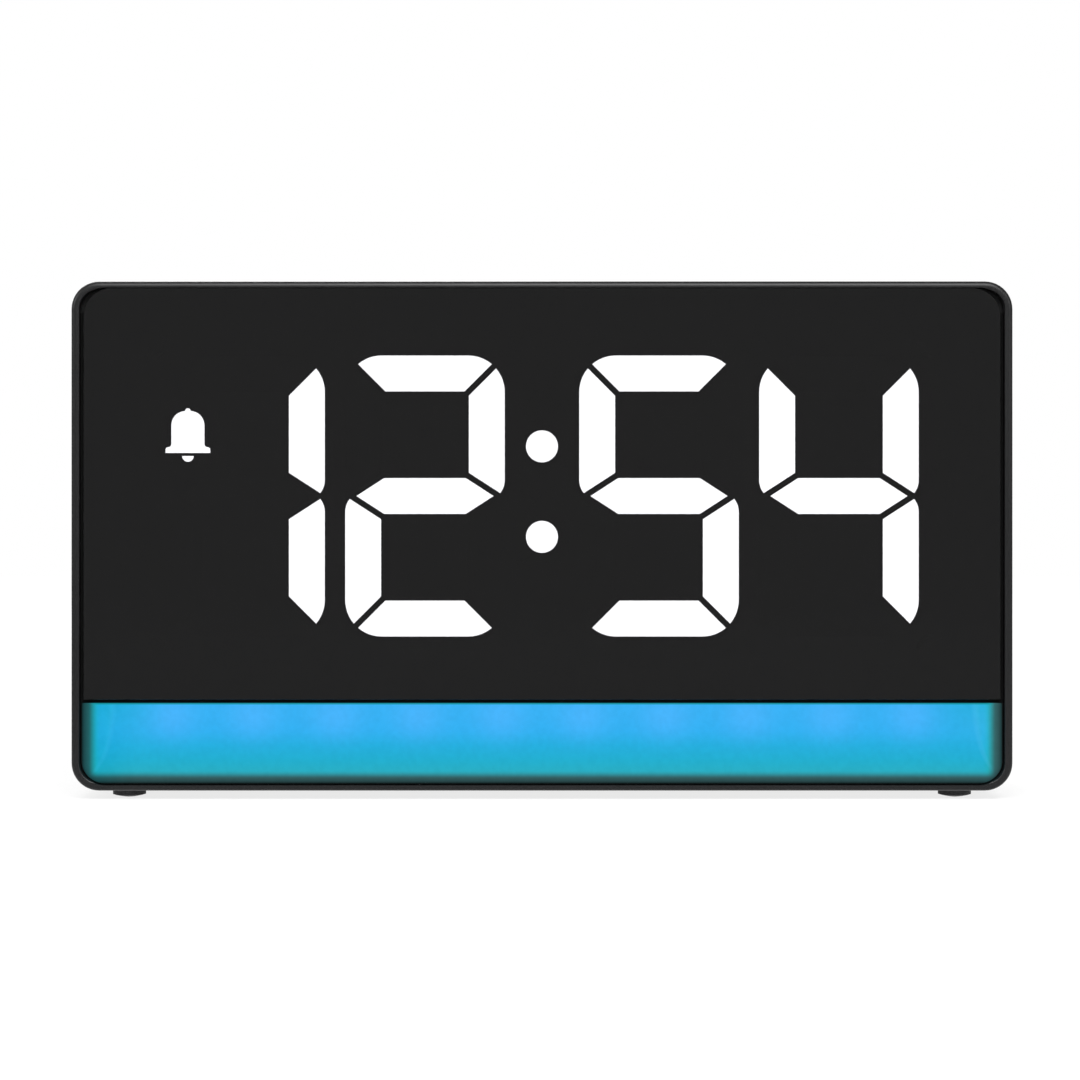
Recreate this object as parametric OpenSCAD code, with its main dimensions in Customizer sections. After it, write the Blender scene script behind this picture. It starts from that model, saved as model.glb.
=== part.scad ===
// Mood light alarm clock: a mains desk clock with a large LED display over a coloured light bar.
// Millimetres. +Z is up, the display faces -Y, and the origin is on the table under the body.

/* [Body] */
// Width of the body
body_w = 170; // [168:1:200]
// Height of the body without its feet
body_h = 92; // [90:1:110]
// Depth of the body, from front rim to back
body_d = 45; // [44:1:60]
// Radius of the four corners seen from the front
corner_r = 5; // [4.5:0.5:7]
// Wall thickness of both shells
wall = 2.2; // [2:0.1:2.6]
// Depth of the front housing, from rim to seam
front_d = 30; // [28:0.5:31]
// Thickness of the rim at the sides of the front opening
rim_t = 1.5; // [1.2:0.05:1.6]
// Thickness of the rim above the window
rim_top = 1.15; // [1:0.05:1.15]
// Thickness of the rim under the light bar
rim_low = 1; // [0.95:0.05:1]
// Rounding of the rim's outer edge
rim_round = 0.9; // [0.3:0.1:0.9]
// Rounding of the back edge
back_round = 3.5; // [2.6:0.1:4]
// Bevel on each shell at the seam
seam_bevel = 0.4; // [0.2:0.1:0.6]
// Length of the lip that locates the rear cover in the front housing
lip_len = 2.4; // [1.5:0.1:2.8]
// Thickness of that lip
lip_t = 1.2; // [0.8:0.1:1.4]

/* [Feet] */
// Diameter of a rubber foot
foot_d = 6; // [5:0.5:7]
// Height of a foot below the body
foot_h = 1.6; // [1:0.1:2.5]
// Rounding of a foot's lower edge
foot_round = 0.3; // [0.1:0.1:0.8]
// Depth of the pocket that a foot is glued in
foot_pocket = 0.5; // [0.3:0.1:0.8]
// Distance of a foot's centre from the side of the body
foot_side = 9.5; // [9:0.5:20]
// Distance of a foot's centre from the front or the back
foot_end = 7.5; // [7:0.5:9]

/* [Window and light bar] */
// Depth of the window's face behind the rim
window_recess = 0.8; // [0.4:0.1:1.2]
// Thickness of the smoked window
window_t = 1.5; // [1:0.1:2]
// Gap at each side of the window
window_gap = 1; // [0.2:0.05:1.2]
// Gap above the window
window_top_gap = 0.1; // [0.1:0.05:0.4]
// Thickness of the adhesive tape behind the window
tape_t = 0.2; // [0.1:0.05:0.3]
// Width of the adhesive tape
tape_w = 4; // [3:0.5:5]
// Thickness of the housing's front panel
panel_t = 1.8; // [1.4:0.1:2.2]
// Height of the light bar under the window
light_h = 14.95; // [13:0.05:16]
// Thickness of the light bar's diffuser
diffuser_t = 1.5; // [1:0.1:1.6]
// Gap at the ends and the bottom of the diffuser
diffuser_gap = 0.3; // [0.2:0.05:0.5]
// Gap between the diffuser and the window
bar_gap = 0.7; // [0.3:0.05:0.8]
// Width of the ledge that the diffuser is bonded to
light_ledge = 1.9; // [1.5:0.1:2.4]
// Depth of the light bar's reflector
reflector_d = 12.8; // [12.6:0.1:14]
// Wall thickness of the reflector
reflector_t = 0.9; // [0.7:0.1:1.1]
// Largest number of colour LEDs behind the light bar
led_count = 10; // [6:1:10]
// Distance between two colour LEDs
led_pitch = 14.9; // [10:0.1:14.9]
// Width and length of one colour LED
led_size = 5; // [3.5:0.5:5]

/* [Digits] */
// Width of a digit
digit_w = 28.9; // [26:0.1:29.5]
// Height of a digit
digit_h = 50.9; // [46:0.1:51]
// Distance between the digits of a pair
digit_pitch = 32.6; // [31.5:0.1:33]
// Extra room for the colon
colon_room = 9.8; // [8:0.1:10]
// Width of a segment
seg_t = 6.5; // [5:0.1:7]
// Gap between two segments
seg_gap = 1.1; // [0.7:0.1:1.2]
// Radius of a digit's outer corners
digit_r = 6.6; // [4:0.1:7]
// Rounding of the upright segments at the waist
waist_r = 3.7; // [3:0.1:4]
// Height that an upright segment's end drops towards its outer side
waist_drop = 4.2; // [3.6:0.1:4.6]
// Height of the digits' centre above the middle of the window
display_up = -0.4; // [-1:0.05:1]
// Diameter of a colon dot
colon_d = 5.8; // [5:0.2:7]
// Height of the upper dot above the digits' centre
colon_rise = 9; // [5:0.1:12]
// Depth of the lower dot below the digits' centre
colon_fall = 7.4; // [5:0.1:12]
// Distance of the alarm bell from the middle of the first digit
bell_side = 10.35; // [7:0.05:10.5]
// Height of the bell's rim above the digits' centre
bell_up = 7.8; // [6:0.1:8.5]
// Width of the bell's rim
bell_w = 8.1; // [7.6:0.1:8.6]
// Half the width of the bell's dome
bell_r = 3; // [2.7:0.02:3.1]
// Radius of the dome's shoulders
bell_round = 2.6; // [2:0.1:2.6]
// Height of the shoulders' centres above the rim
bell_dome = 5; // [4.6:0.05:5]
// Depth of the display block
block_d = 8; // [7:0.5:8.5]
// Width of the block's edge round the digits
block_edge = 3.6; // [3:0.1:3.6]
// Thickness of the segment inserts
insert_t = 1.6; // [1:0.1:2.5]

/* [Controls] */
// Length of the snooze key
snooze_w = 60; // [40:1:100]
// Width of the snooze key
snooze_d = 11; // [8:0.5:13]
// Distance of the snooze key's middle from the front
snooze_back = 18.5; // [18.5:0.5:19.5]
// Depth of the snooze key's face below the top
snooze_sink = 0.3; // [0:0.1:0.6]
// Travel of the snooze key
snooze_travel = 1; // [0.5:0.1:1.2]
// Width of a rear key
key_w = 11; // [8:0.5:12]
// Height of a rear key
key_h = 6.4; // [5:0.1:7]
// Corner radius of a rear key
key_r = 2; // [1:0.1:2.4]
// Distance between two rear keys
key_pitch = 18; // [15.5:0.5:18]
// Travel of a rear key
key_travel = 0.8; // [0.3:0.1:1]
// Thickness of the flange that holds a key in
flange_t = 1; // [0.8:0.1:1.2]
// Width of that flange
flange_rim = 1.2; // [0.8:0.1:1.4]
// Length of a key's stem, from flange to switch
stem_len = 2.5; // [1.5:0.1:3]
// Length of the alarm slider's thumb piece
slider_w = 4.6; // [3.6:0.2:5]
// Height of the alarm slider's thumb piece
slider_h = 5; // [4:0.2:6]
// Travel of the alarm slider
slider_travel = 2.5; // [1.5:0.1:2.8]
// Depth of the recess that the rear keys lie in
strip_depth = 1.2; // [0.8:0.1:1.5]
// Height of that recess
strip_h = 13; // [11:0.5:15]
// Height of the rear keys above the middle of the back
strip_up = 24; // [16:0.5:25]
// Gap between a key and its hole
key_gap = 0.25; // [0.15:0.05:0.4]

/* [Boards] */
// Thickness of the circuit boards
board_t = 1.6; // [1.2:0.1:2]
// Thickness of the light bar's board
light_board_t = 1.2; // [0.8:0.1:1.6]
// Width of the main board
main_w = 120; // [116:1:126]
// Depth of the snooze key's board
snooze_board_d = 10; // [8:0.5:10.5]
// Width of the display ribbon
ribbon_w = 16; // [10:1:20]
// Thickness of the leads
lead_t = 1.2; // [0.8:0.1:1.6]
// Sag of a lead between its headers
lead_sag = 1.2; // [0.6:0.1:1.6]

/* [Power] */
// Width and height of the battery door
door_w = 30; // [28:1:31]
// Thickness of the battery door
door_t = 1.8; // [1.5:0.1:2]
// Gap round the battery door
door_gap = 0.25; // [0.2:0.05:0.4]
// Distance of the battery door's middle from the middle of the back
door_x = 34; // [30:1:34]
// Height of the battery door's middle above the underside of the body
door_up = 34; // [32:1:36]
// Diameter of the backup coin cell
cell_d = 20; // [16:1:20]
// Thickness of the backup coin cell
cell_t = 3.2; // [2:0.2:3.2]
// Gap round the coin cell
cell_gap = 0.4; // [0.3:0.05:0.6]
// Bore of the low-voltage inlet
jack_bore = 6.2; // [5.5:0.1:6.4]
// Diameter of the inlet's centre pin
jack_pin = 2; // [1.6:0.1:2.5]
// Distance of the inlet from the middle of the back
jack_side = 30; // [24:1:40]
// Height of the inlet above the underside of the body
jack_up = 16; // [14:1:22]

/* [Fasteners] */
// Shank diameter of the case screws
case_screw = 2.8; // [2.4:0.1:3]
// Length of a case screw's shank
case_screw_len = 14; // [12:1:15]
// Distance of a case screw from the side of the body
case_side = 8; // [7.5:0.5:9]
// Distance of a case screw from the top or the underside
case_in = 9; // [8:0.5:10]
// Shank diameter of the board screws
board_screw = 2; // [1.8:0.1:2.2]
// Length of a board screw's shank
board_screw_len = 6; // [5:0.5:6.5]
// Clearance between a screw and its hole
screw_gap = 0.1; // [0.05:0.05:0.2]

/* [Hidden] */
$fn = 64;

// Clearances: face to face at rest, sliding round a plunger or lip, and an insert in its cavity
seat_gap = 0.2;
slide_gap = 0.1;
insert_gap = 0.05;
// How far a cut runs past a face, and how deep a boss is rooted in what carries it
past = 1;
root = 0.3;

// Planes of the body
yf = -body_d / 2;
yr = body_d / 2;
z0 = foot_h;
z1 = foot_h + body_h;
seam_y = yf + front_d;
back_in = yr - wall;
top_in = z1 - wall;
side_in = body_w / 2 - wall;

// Front opening, window and light bar
open_w = body_w - 2 * rim_t;
open_z0 = z0 + rim_t;
open_z1 = z1 - rim_top;
window_r = corner_r - rim_t;
bar_r = window_r + 1;
bar_skim = 0.05;
window_y0 = yf + window_recess;
window_y1 = window_y0 + window_t;
panel_y0 = window_y1 + tape_t;
panel_y1 = panel_y0 + panel_t;
window_z0 = open_z0 + light_h;
tape_inset = 0.5;
bar_lap = 0.5;
slot_x = open_w / 2 - light_ledge;
slot_z0 = open_z0 + light_ledge;
slot_z1 = window_z0 - bar_gap - bar_lap;

// Display block and its board, which is screwed to a boss in each corner of the block
display_z = (window_z0 + open_z1) / 2 + display_up;
block_w = 3 * digit_pitch + colon_room + digit_w + 2 * block_edge;
block_h = digit_h + 2 * block_edge;
block_room = 0.5;
block_y0 = panel_y0 + seat_gap;
board_y0 = block_y0 + block_d;
board_y1 = board_y0 + board_t;
board_edge = 0.8;
boss_d = 5;
boss_inset = 1;
display_boss_x = block_w / 2 - boss_inset;
display_boss_z = block_h / 2 - boss_inset;
display_board_w = block_w + 2 * board_edge;
display_board_h = block_h + 2 * board_edge;
LIT = ["bc", "abged", "afgcd", "fgbc"];
FITTED = ["abcdeg", "abcdefg", "abcdefg", "abcdefg"];

// Surface-mounted display LED
chip_w = 2.8;
chip_h = 3.5;
chip_t = 1.9;

// Light bar's reflector, board and screws
reflector_y1 = panel_y1 + reflector_d;
reflector_slope = 5.5;
reflector_end = 12;
light_board_rise = 1.1;
light_board_z0 = window_z0 - seat_gap + light_board_rise;
light_board_z1 = light_board_z0 + light_board_t;
light_board_gap = 0.4;
led_t = 1.6;
led_y = (panel_y1 + reflector_y1) / 2;
peg_d = 1.6;
peg_in = 8.4;
peg_x = slot_x - peg_in;
peg_y = reflector_y1 - peg_d;
ear_w = 5;
ear_t = 1.2;
ear_boss_d = 4;
ear_in = 3.4;
ear_room = 0.6;
ear_x = slot_x - ear_in;
ear_z = light_board_z0 + ear_boss_d / 2 + seat_gap;
ear_y0 = panel_y1 + reflector_d / 2;
light_board_x = ear_x - ear_w / 2 - ear_room;
ear_screw_len = reflector_d / 2;
led_fit = min(led_count, floor(2 * light_board_x / led_pitch));

// Push switch with its plunger
switch_w = 6;
switch_body = 3.6;
switch_h = 4.8;
plunger_d = 3.4;
plunger_in = 1.8;

// Rear keys, from the back face inwards to the main board
strip_z = z0 + body_h / 2 + strip_up;
strip_end = 4;
strip_w = 6 * key_pitch + 2 * strip_end;
strip_r = 3;
pad_edge = 1;
pad_y0 = back_in - strip_depth;
strip_floor = yr - strip_depth;
key_sink = 0.1;
key_face = yr - key_sink;
stem_d = 4;
flange_y1 = pad_y0 - seat_gap;
flange_y0 = flange_y1 - flange_t;
plunger_y1 = flange_y0 - stem_len;
main_y1 = plunger_y1 - switch_h;
main_y0 = main_y1 - board_t;

// Alarm slide switch
slider_x = 2.5 * key_pitch;
slider_mid = slider_x + slider_travel / 2;
slider_stem = 2;
slider_flange_w = 11.2;
slide_can_w = 11;
slide_can_h = 5;
slide_can_t = 4;
slide_can_floor = 1.2;

// Main board and what carries it
main_low = 7;
main_top = 8;
main_z0 = z0 + main_low;
main_z1 = z1 - main_top;
standoff_d = 6;
standoff_side = 5;
standoff_x = main_w / 2 - standoff_side;
standoff_in = 4;

// Snooze key, from the top inwards to its board
snooze_y = yf + snooze_back;
snooze_r = 3;
snooze_flange_z1 = top_in - seat_gap;
snooze_flange_z0 = snooze_flange_z1 - flange_t;
snooze_tip_z = snooze_flange_z0 - stem_len;
snooze_board_z1 = snooze_tip_z - switch_h;
snooze_board_z0 = snooze_board_z1 - board_t;
snooze_boss_gap = 1;
snooze_boss_x = snooze_w / 2 + flange_rim + boss_d / 2 + snooze_boss_gap;
snooze_board_w = 2 * snooze_boss_x + boss_d + snooze_boss_gap;

// Case screws
case_x = body_w / 2 - case_side;
case_boss_d = 6.5;
case_web = 2.4;
case_lip_gap = 0.6;
case_trough_gap = 0.8;
case_y1 = seam_y - lip_len - case_lip_gap;
case_y0 = reflector_y1 + case_trough_gap;
case_post_d = 7.6;
case_head_d = 5.4;
case_head_t = 2;
case_grip = 7.5;
case_seat = case_y1 + case_grip;
CASE = [for (sx = [-1, 1], z = [z0 + case_in, z1 - case_in]) [sx * case_x, z]];
board_head_d = 3.8;
board_head_t = 1.4;

// Battery bay, from the door inwards
door_z = z0 + door_up;
door_z0 = door_z - door_w / 2;
door_y0 = yr - door_t;
door_r = 2;
notch_d = 9;
notch_t = 0.8;
hinge_y = yr - door_t / 2;
hinge_z = door_z0 + door_t / 2;
hinge_pin_d = 0.8;
hinge_pin_len = 1.2;
hinge_pin_room = 0.2;
hinge_fit = 0.05;
bay_edge = 2.5;
bay_t = 1.6;
bay_w = door_w + 2 * bay_edge;
bay_y1 = door_y0 - slide_gap;
bay_y0 = bay_y1 - bay_t;
cell_sink = 0.9;
cell_y1 = door_y0 - cell_sink;
cell_y0 = cell_y1 - cell_t;
cell_step = 0.6;
cell_spring_h = 0.9;
cell_spring_d = 10;
cell_spring_tip = 3;
cup_y1 = cell_y0 - cell_spring_h;
cup_t = 1.6;
cup_d = cell_d + 2 * cell_gap;
door_pad_d = 8;
clip_w = 8;
clip_fit = 0.05;
contact_t = 0.3;

// Inlet, buzzer, chip, capacitors and vents
jack_x = -jack_side;
jack_z = z0 + jack_up;
jack_w = 9;
jack_nose = 8;
jack_body_y1 = back_in - seat_gap;
jack_face = yr - seat_gap;
jack_floor_t = 2.2;
jack_floor = main_y1 + jack_floor_t;
jack_pin_sink = 1.5;
buzzer_x = -34;
buzzer_up = 42;
buzzer_z = z0 + buzzer_up;
buzzer_d = 12;
buzzer_h = 8.6;
buzzer_hole = 2.5;
sound_hole = 1.8;
sound_ring = 3.6;
controller_x = 13;
controller_up = 53;
controller_w = 10;
controller_t = 1.4;
capacitor_x = -40;
capacitor_pitch = 12;
capacitor_up = 22;
capacitor_z = z0 + capacitor_up;
capacitor_d = 8;
capacitor_h = 9;
vent_n = 9;
vent_pitch = 6;
vent_w = 1.8;
vent_h = 5.5;
vent_down = 8;
vent_z = z1 - vent_down;

// Ribbon, leads and what they plug into
ribbon_x = -10;
ribbon_t = 0.3;
ribbon_up = 26;
ribbon_bend_z = z0 + ribbon_up;
socket_up = 38;
socket_z = z0 + socket_up;
socket_h = 5;
socket_t = 2.8;
socket_edge = 1.5;
header_t = 3.6;
header_d = 4;
header_edge = 1;
light_lead_x = 50;
light_lead_w = 5;
light_lead_z = light_board_z1 + header_t / 2;
light_header_y = reflector_y1 - light_board_gap;
snooze_lead_x = 12;
snooze_lead_w = 2.5;
snooze_lead_z = snooze_board_z0 - header_t / 2;
snooze_header_y = snooze_y;
main_header_y = main_y0 - header_t;

// Colours
SHELL = "#1a1a1b";
KEY = "#242425";
RUBBER = "#141414";
SMOKED = "#161617";
WHITE = "#f2f2ee";
LIT_WHITE = "#ffffff";
GLOW = "#2fb2ee";
MASK = "#101011";
BOARD = "#1d5a34";
METAL = "#b9bcc0";
GOLD = "#c9a24a";
CHIP = "#202022";
SLEEVE = "#20304a";
RIBBON = "#d8d8d2";
LEAD = "#2a2a2c";

// A flat shape drawn in x and z, given depth from ya to yb
module slab(ya, yb) translate([0, yb, 0]) rotate([90, 0, 0]) linear_extrude(yb - ya) children();

// A flat shape drawn in y and z, given width from xa to xb
module side_slab(xa, xb) translate([xa, 0, 0]) rotate([90, 0, 90]) linear_extrude(xb - xa) children();

// A round bar from front to back
module rod(x, z, d, ya, yb) translate([x, yb, z]) rotate([90, 0, 0]) cylinder(d = d, h = yb - ya);

// A round bar that stands up
module post(x, y, d, za, zb) translate([x, y, za]) cylinder(d = d, h = zb - za);

// A round bar from side to side
module bar(y, z, d, xa, xb) translate([xa, y, z]) rotate([0, 90, 0]) cylinder(d = d, h = xb - xa);

// A box by its limits
module block(xa, xb, ya, yb, za, zb) translate([xa, ya, za]) cube([xb - xa, yb - ya, zb - za]);

// A flat rectangle with round corners
module round_rect(w, h, r) {
    square([w - 2 * r, h], center = true);
    square([w, h - 2 * r], center = true);
    for (sx = [-1, 1], sy = [-1, 1]) translate([sx * (w / 2 - r), sy * (h / 2 - r)]) circle(r);
}

// What a rounding takes off a corner at the origin, where the shape lies towards +x and +y
module corner_cut(r) difference() {
    translate([-past, -past]) square(r + past);
    translate([r, r]) circle(r);
}

// The body's outline seen from the front, brought in by inset
module body_outline(inset) translate([0, z0 + body_h / 2])
    round_rect(body_w - 2 * inset, body_h - 2 * inset, corner_r - inset);

// The outline of the room for the light bar, brought in at its ends and its lower edge
module bar_outline(ends, low) translate([0, z0 + rim_low + low + light_h])
    round_rect(open_w - 2 * ends, 2 * light_h, bar_r - low);

// The outline of the room under the upper rim
module top_outline() translate([0, open_z1 - light_h])
    round_rect(open_w - 2 * bar_skim, 2 * light_h, bar_r);

// Sweeps a wall's profile round the body: the profile's x runs inwards and its y runs back from the rim
module swept_wall() {
    half = [body_w / 2 - corner_r, body_h / 2 - corner_r];
    translate([0, yf, z0 + body_h / 2]) rotate([90, 0, 0]) for (q = [0 : 3]) rotate([0, 0, 90 * q]) {
        out = half[q % 2];
        run = half[(q + 1) % 2];
        translate([out, run, 0]) rotate_extrude(angle = 90) profile_place() children();
        translate([out, run, 0]) rotate([90, 0, 0]) linear_extrude(2 * run) profile_place() children();
    }
}
module profile_place() translate([corner_r, 0]) rotate(180) children();

// Front housing: rim, walls, front panel and bosses in one moulding
module front_profile() difference() {
    union() {
        square([rim_t, front_d]);
        translate([0, panel_y0 - yf]) square([wall, front_d - (panel_y0 - yf)]);
    }
    corner_cut(rim_round);
    translate([rim_t, 0]) mirror([1, 0]) corner_cut(rim_round / 3);
    translate([0, front_d]) polygon([[-past, past], [-past, -seam_bevel - past], [seam_bevel + past, past]]);
}
module display_boss_outline(room) for (sx = [-1, 1], sz = [-1, 1])
    translate([sx * display_boss_x, display_z + sz * display_boss_z]) circle(d = boss_d + 2 * room);
module front_panel() slab(panel_y0, panel_y1) {
    difference() {
        body_outline(wall / 2);
        translate([0, display_z]) square([block_w + 2 * block_room, block_h + 2 * block_room], center = true);
        translate([-slot_x, slot_z0]) square([2 * slot_x, slot_z1 - slot_z0]);
    }
    display_boss_outline(0);
}
module display_boss_places() for (sx = [-1, 1], sz = [-1, 1])
    translate([sx * display_boss_x, 0, display_z + sz * display_boss_z]) children();
module front_bosses() {
    display_boss_places() rod(0, 0, boss_d, panel_y1 - root, board_y0);
    for (sx = [-1, 1]) {
        rod(sx * ear_x, ear_z, ear_boss_d, panel_y1 - root, ear_y0);
        post(sx * snooze_boss_x, snooze_y, boss_d, snooze_board_z1, top_in + root);
    }
    for (c = CASE) {
        rod(c[0], c[1], case_boss_d, case_y0, case_y1);
        wall_x = sign(c[0]) * (side_in + root);
        block(min(c[0], wall_x), max(c[0], wall_x), case_y0, case_y1, c[1] - case_web / 2, c[1] + case_web / 2);
    }
}
module front_bores() {
    bore = board_screw + 2 * screw_gap;
    display_boss_places() rod(0, 0, bore, board_y1 - board_screw_len - root, board_y0 + past);
    for (sx = [-1, 1]) {
        rod(sx * ear_x, ear_z, bore, ear_y0 + ear_t - ear_screw_len - root, ear_y0 + past);
        post(sx * snooze_boss_x, snooze_y, bore, snooze_board_z1 - past, snooze_board_z0 + board_screw_len + root);
    }
    for (c = CASE) rod(c[0], c[1], case_screw + 2 * screw_gap, case_seat - case_screw_len - root, case_y1 + past);
}
module front_housing() color(SHELL) difference() {
    union() {
        swept_wall() front_profile();
        front_panel();
        front_bosses();
    }
    front_bores();
    slab(yf - past, panel_y0) {
        bar_outline(bar_skim, 0);
        top_outline();
    }
    translate([0, snooze_y, top_in - past]) linear_extrude(wall + 2 * past)
        round_rect(snooze_w + 2 * key_gap, snooze_d + 2 * key_gap, snooze_r + key_gap);
    foot_places([yf + foot_end]) foot_hole();
}

// Rear cover: walls, back plate, locating lip, screw posts and the battery bay in one moulding
module rear_profile() {
    lip_root = 2.5;
    difference() {
        translate([0, front_d]) square([back_round, body_d - front_d]);
        translate([0, body_d]) mirror([0, 1]) corner_cut(back_round);
        translate([wall, front_d - past]) square([back_round, body_d - front_d + past - back_round]);
        translate([back_round, body_d - back_round]) circle(back_round - wall);
        translate([0, front_d]) polygon([[-past, -past], [-past, seam_bevel + past], [seam_bevel + past, -past]]);
    }
    translate([wall + slide_gap, front_d - lip_len]) square([lip_t, lip_len + lip_root]);
    translate([wall - root, front_d + lip_root / 2]) square([lip_t + root, lip_root / 2]);
}
module back_plate() slab(back_in, yr) body_outline(back_round);
module key_places() for (i = [0 : 4]) translate([(i - 2.5) * key_pitch, 0, strip_z]) children();
module strip_outline(grow) translate([0, strip_z])
    round_rect(strip_w + 2 * grow, strip_h + 2 * grow, strip_r + grow);
module standoff_places() for (sx = [-1, 1], z = [main_z0 + standoff_in, main_z1 - standoff_in])
    translate([sx * standoff_x, 0, z]) children();
module rear_bosses() {
    slab(pad_y0, back_in + root) strip_outline(pad_edge);
    for (c = CASE) rod(c[0], c[1], case_post_d, case_y1, back_in + root);
    standoff_places() rod(0, 0, standoff_d, main_y1, back_in + root);
}
module door_outline(room) translate([door_x, door_z]) difference() {
    square(door_w + 2 * room, center = true);
    for (m = [0, 1]) mirror([m, 0]) translate([door_w / 2 + room, door_w / 2 + room]) rotate(180)
        corner_cut(door_r + room);
}
module battery_bay() {
    slab(bay_y0, back_in + root) translate([door_x, door_z]) square(bay_w, center = true);
    rod(door_x, door_z, cup_d + 2 * cup_t, cup_y1 - cup_t, bay_y0 + root);
}
module battery_cut() {
    slab(bay_y1, yr + past) door_outline(door_gap);
    rod(door_x, door_z, cup_d, cup_y1, yr);
    pin_hole = door_w / 2 + hinge_pin_len + hinge_pin_room;
    bar(hinge_y, hinge_z, hinge_pin_d + 2 * hinge_fit, door_x - pin_hole, door_x + pin_hole);
}
module rear_cuts() {
    slab(strip_floor, yr + past) strip_outline(0);
    key_places() slab(pad_y0 - past, yr) round_rect(key_w + 2 * key_gap, key_h + 2 * key_gap, key_r + key_gap);
    slab(pad_y0 - past, yr) translate([slider_mid, strip_z])
        square([slider_w + slider_travel + 2 * key_gap, slider_h + 2 * key_gap], center = true);
    for (c = CASE) {
        rod(c[0], c[1], case_screw + 4 * screw_gap, case_y1 - past, case_seat + past);
        rod(c[0], c[1], case_head_d + 4 * screw_gap, case_seat, yr + past);
    }
    standoff_places() rod(0, 0, board_screw + 2 * screw_gap, main_y1 - past, main_y0 + board_screw_len + root);
    rod(jack_x, jack_z, jack_nose + 2 * key_gap, back_in - past, yr + past);
    rod(buzzer_x, buzzer_z, sound_hole, back_in - past, yr + past);
    for (a = [0 : 60 : 300])
        rod(buzzer_x + sound_ring * cos(a), buzzer_z + sound_ring * sin(a), sound_hole, back_in - past, yr + past);
    for (i = [0 : vent_n - 1]) slab(back_in - past, yr + past)
        translate([(i - (vent_n - 1) / 2) * vent_pitch, vent_z]) round_rect(vent_w, vent_h, vent_w * 0.45);
    battery_cut();
    foot_places([yr - foot_end]) foot_hole();
}
module rear_cover() color(SHELL) difference() {
    union() {
        swept_wall() rear_profile();
        back_plate();
        rear_bosses();
        battery_bay();
    }
    rear_cuts();
}

// Rubber feet, glued in round pockets
module foot_places(ys) for (sx = [-1, 1], y = ys) translate([sx * (body_w / 2 - foot_side), y, 0]) children();
module foot_hole() post(0, 0, foot_d + 2 * slide_gap, z0 - past, z0 + foot_pocket);
module feet() color(RUBBER) foot_places([yf + foot_end, yr - foot_end]) rotate_extrude() difference() {
    square([foot_d / 2, foot_h + foot_pocket]);
    translate([foot_d / 2, 0]) mirror([1, 0]) corner_cut(foot_round);
}

// Smoked window and the adhesive frame that holds it
module window_outline(inset) intersection() {
    translate([0, open_z1 - window_top_gap - inset - body_h / 2])
        round_rect(open_w - 2 * window_gap - 2 * inset, body_h, bar_r - inset);
    translate([-body_w, window_z0 + inset]) square([2 * body_w, body_h]);
}
module display_window() color(SMOKED) slab(window_y0, window_y1) window_outline(0);
module window_tape() color(MASK) slab(window_y1, panel_y0) difference() {
    inset = tape_inset + tape_w;
    tape_x = open_w / 2 - window_gap - inset;
    tape_z0 = window_z0 + inset;
    window_outline(tape_inset);
    translate([-tape_x, tape_z0]) square([2 * tape_x, open_z1 - window_top_gap - inset - tape_z0]);
}

// Light bar: diffuser, reflector trough and LED board
module light_diffuser() color(GLOW) slab(panel_y0 - diffuser_t, panel_y0) intersection() {
    bar_outline(diffuser_gap, diffuser_gap);
    translate([-body_w, 0]) square([2 * body_w, window_z0 - bar_gap]);
}
module reflector_trough() side_slab(-slot_x - reflector_t, slot_x + reflector_t) polygon([
    [panel_y1, slot_z0 - reflector_t],
    [reflector_y1 - reflector_slope, slot_z0 - reflector_t],
    [reflector_y1, slot_z0 + reflector_slope - reflector_t],
    [reflector_y1, light_board_z0],
    [reflector_y1 - reflector_t, light_board_z0],
    [reflector_y1 - reflector_t, slot_z0 + reflector_slope - reflector_t / 2],
    [reflector_y1 - reflector_slope - reflector_t / 2, slot_z0],
    [panel_y1, slot_z0]]);
module reflector_end(sx) {
    translate([0, 0, slot_z0 - reflector_t]) linear_extrude(light_board_z0 - slot_z0 + reflector_t) polygon([
        [sx * slot_x, panel_y1],
        [sx * (slot_x + reflector_t), panel_y1],
        [sx * (slot_x + reflector_t), reflector_y1],
        [sx * (slot_x - reflector_end), reflector_y1]]);
    block(sx * ear_x - ear_w / 2, sx * ear_x + ear_w / 2, ear_y0, ear_y0 + ear_t,
          light_board_z0 - past, ear_z + ear_boss_d / 2);
    post(sx * peg_x, peg_y, peg_d, light_board_z0 - past, light_board_z1 + root);
}
module light_reflector() color(WHITE) difference() {
    intersection() {
        union() {
            reflector_trough();
            reflector_end(-1);
            reflector_end(1);
        }
        slab(panel_y1, reflector_y1) body_outline(wall + slide_gap);
    }
    for (sx = [-1, 1]) rod(sx * ear_x, ear_z, board_screw + 4 * screw_gap, ear_y0 - past, ear_y0 + ear_t + past);
}
module light_board() color(BOARD) difference() {
    block(-light_board_x, light_board_x, panel_y1 + light_board_gap, reflector_y1 - light_board_gap,
          light_board_z0, light_board_z1);
    for (sx = [-1, 1])
        post(sx * peg_x, peg_y, peg_d + 2 * slide_gap, light_board_z0 - past, light_board_z1 + past);
}
module light_leds() color(WHITE) for (i = [0 : led_fit - 1]) {
    x = (i - (led_fit - 1) / 2) * led_pitch;
    block(x - led_size / 2, x + led_size / 2, led_y - led_size / 2, led_y + led_size / 2,
          light_board_z0 - led_t, light_board_z0);
}

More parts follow.
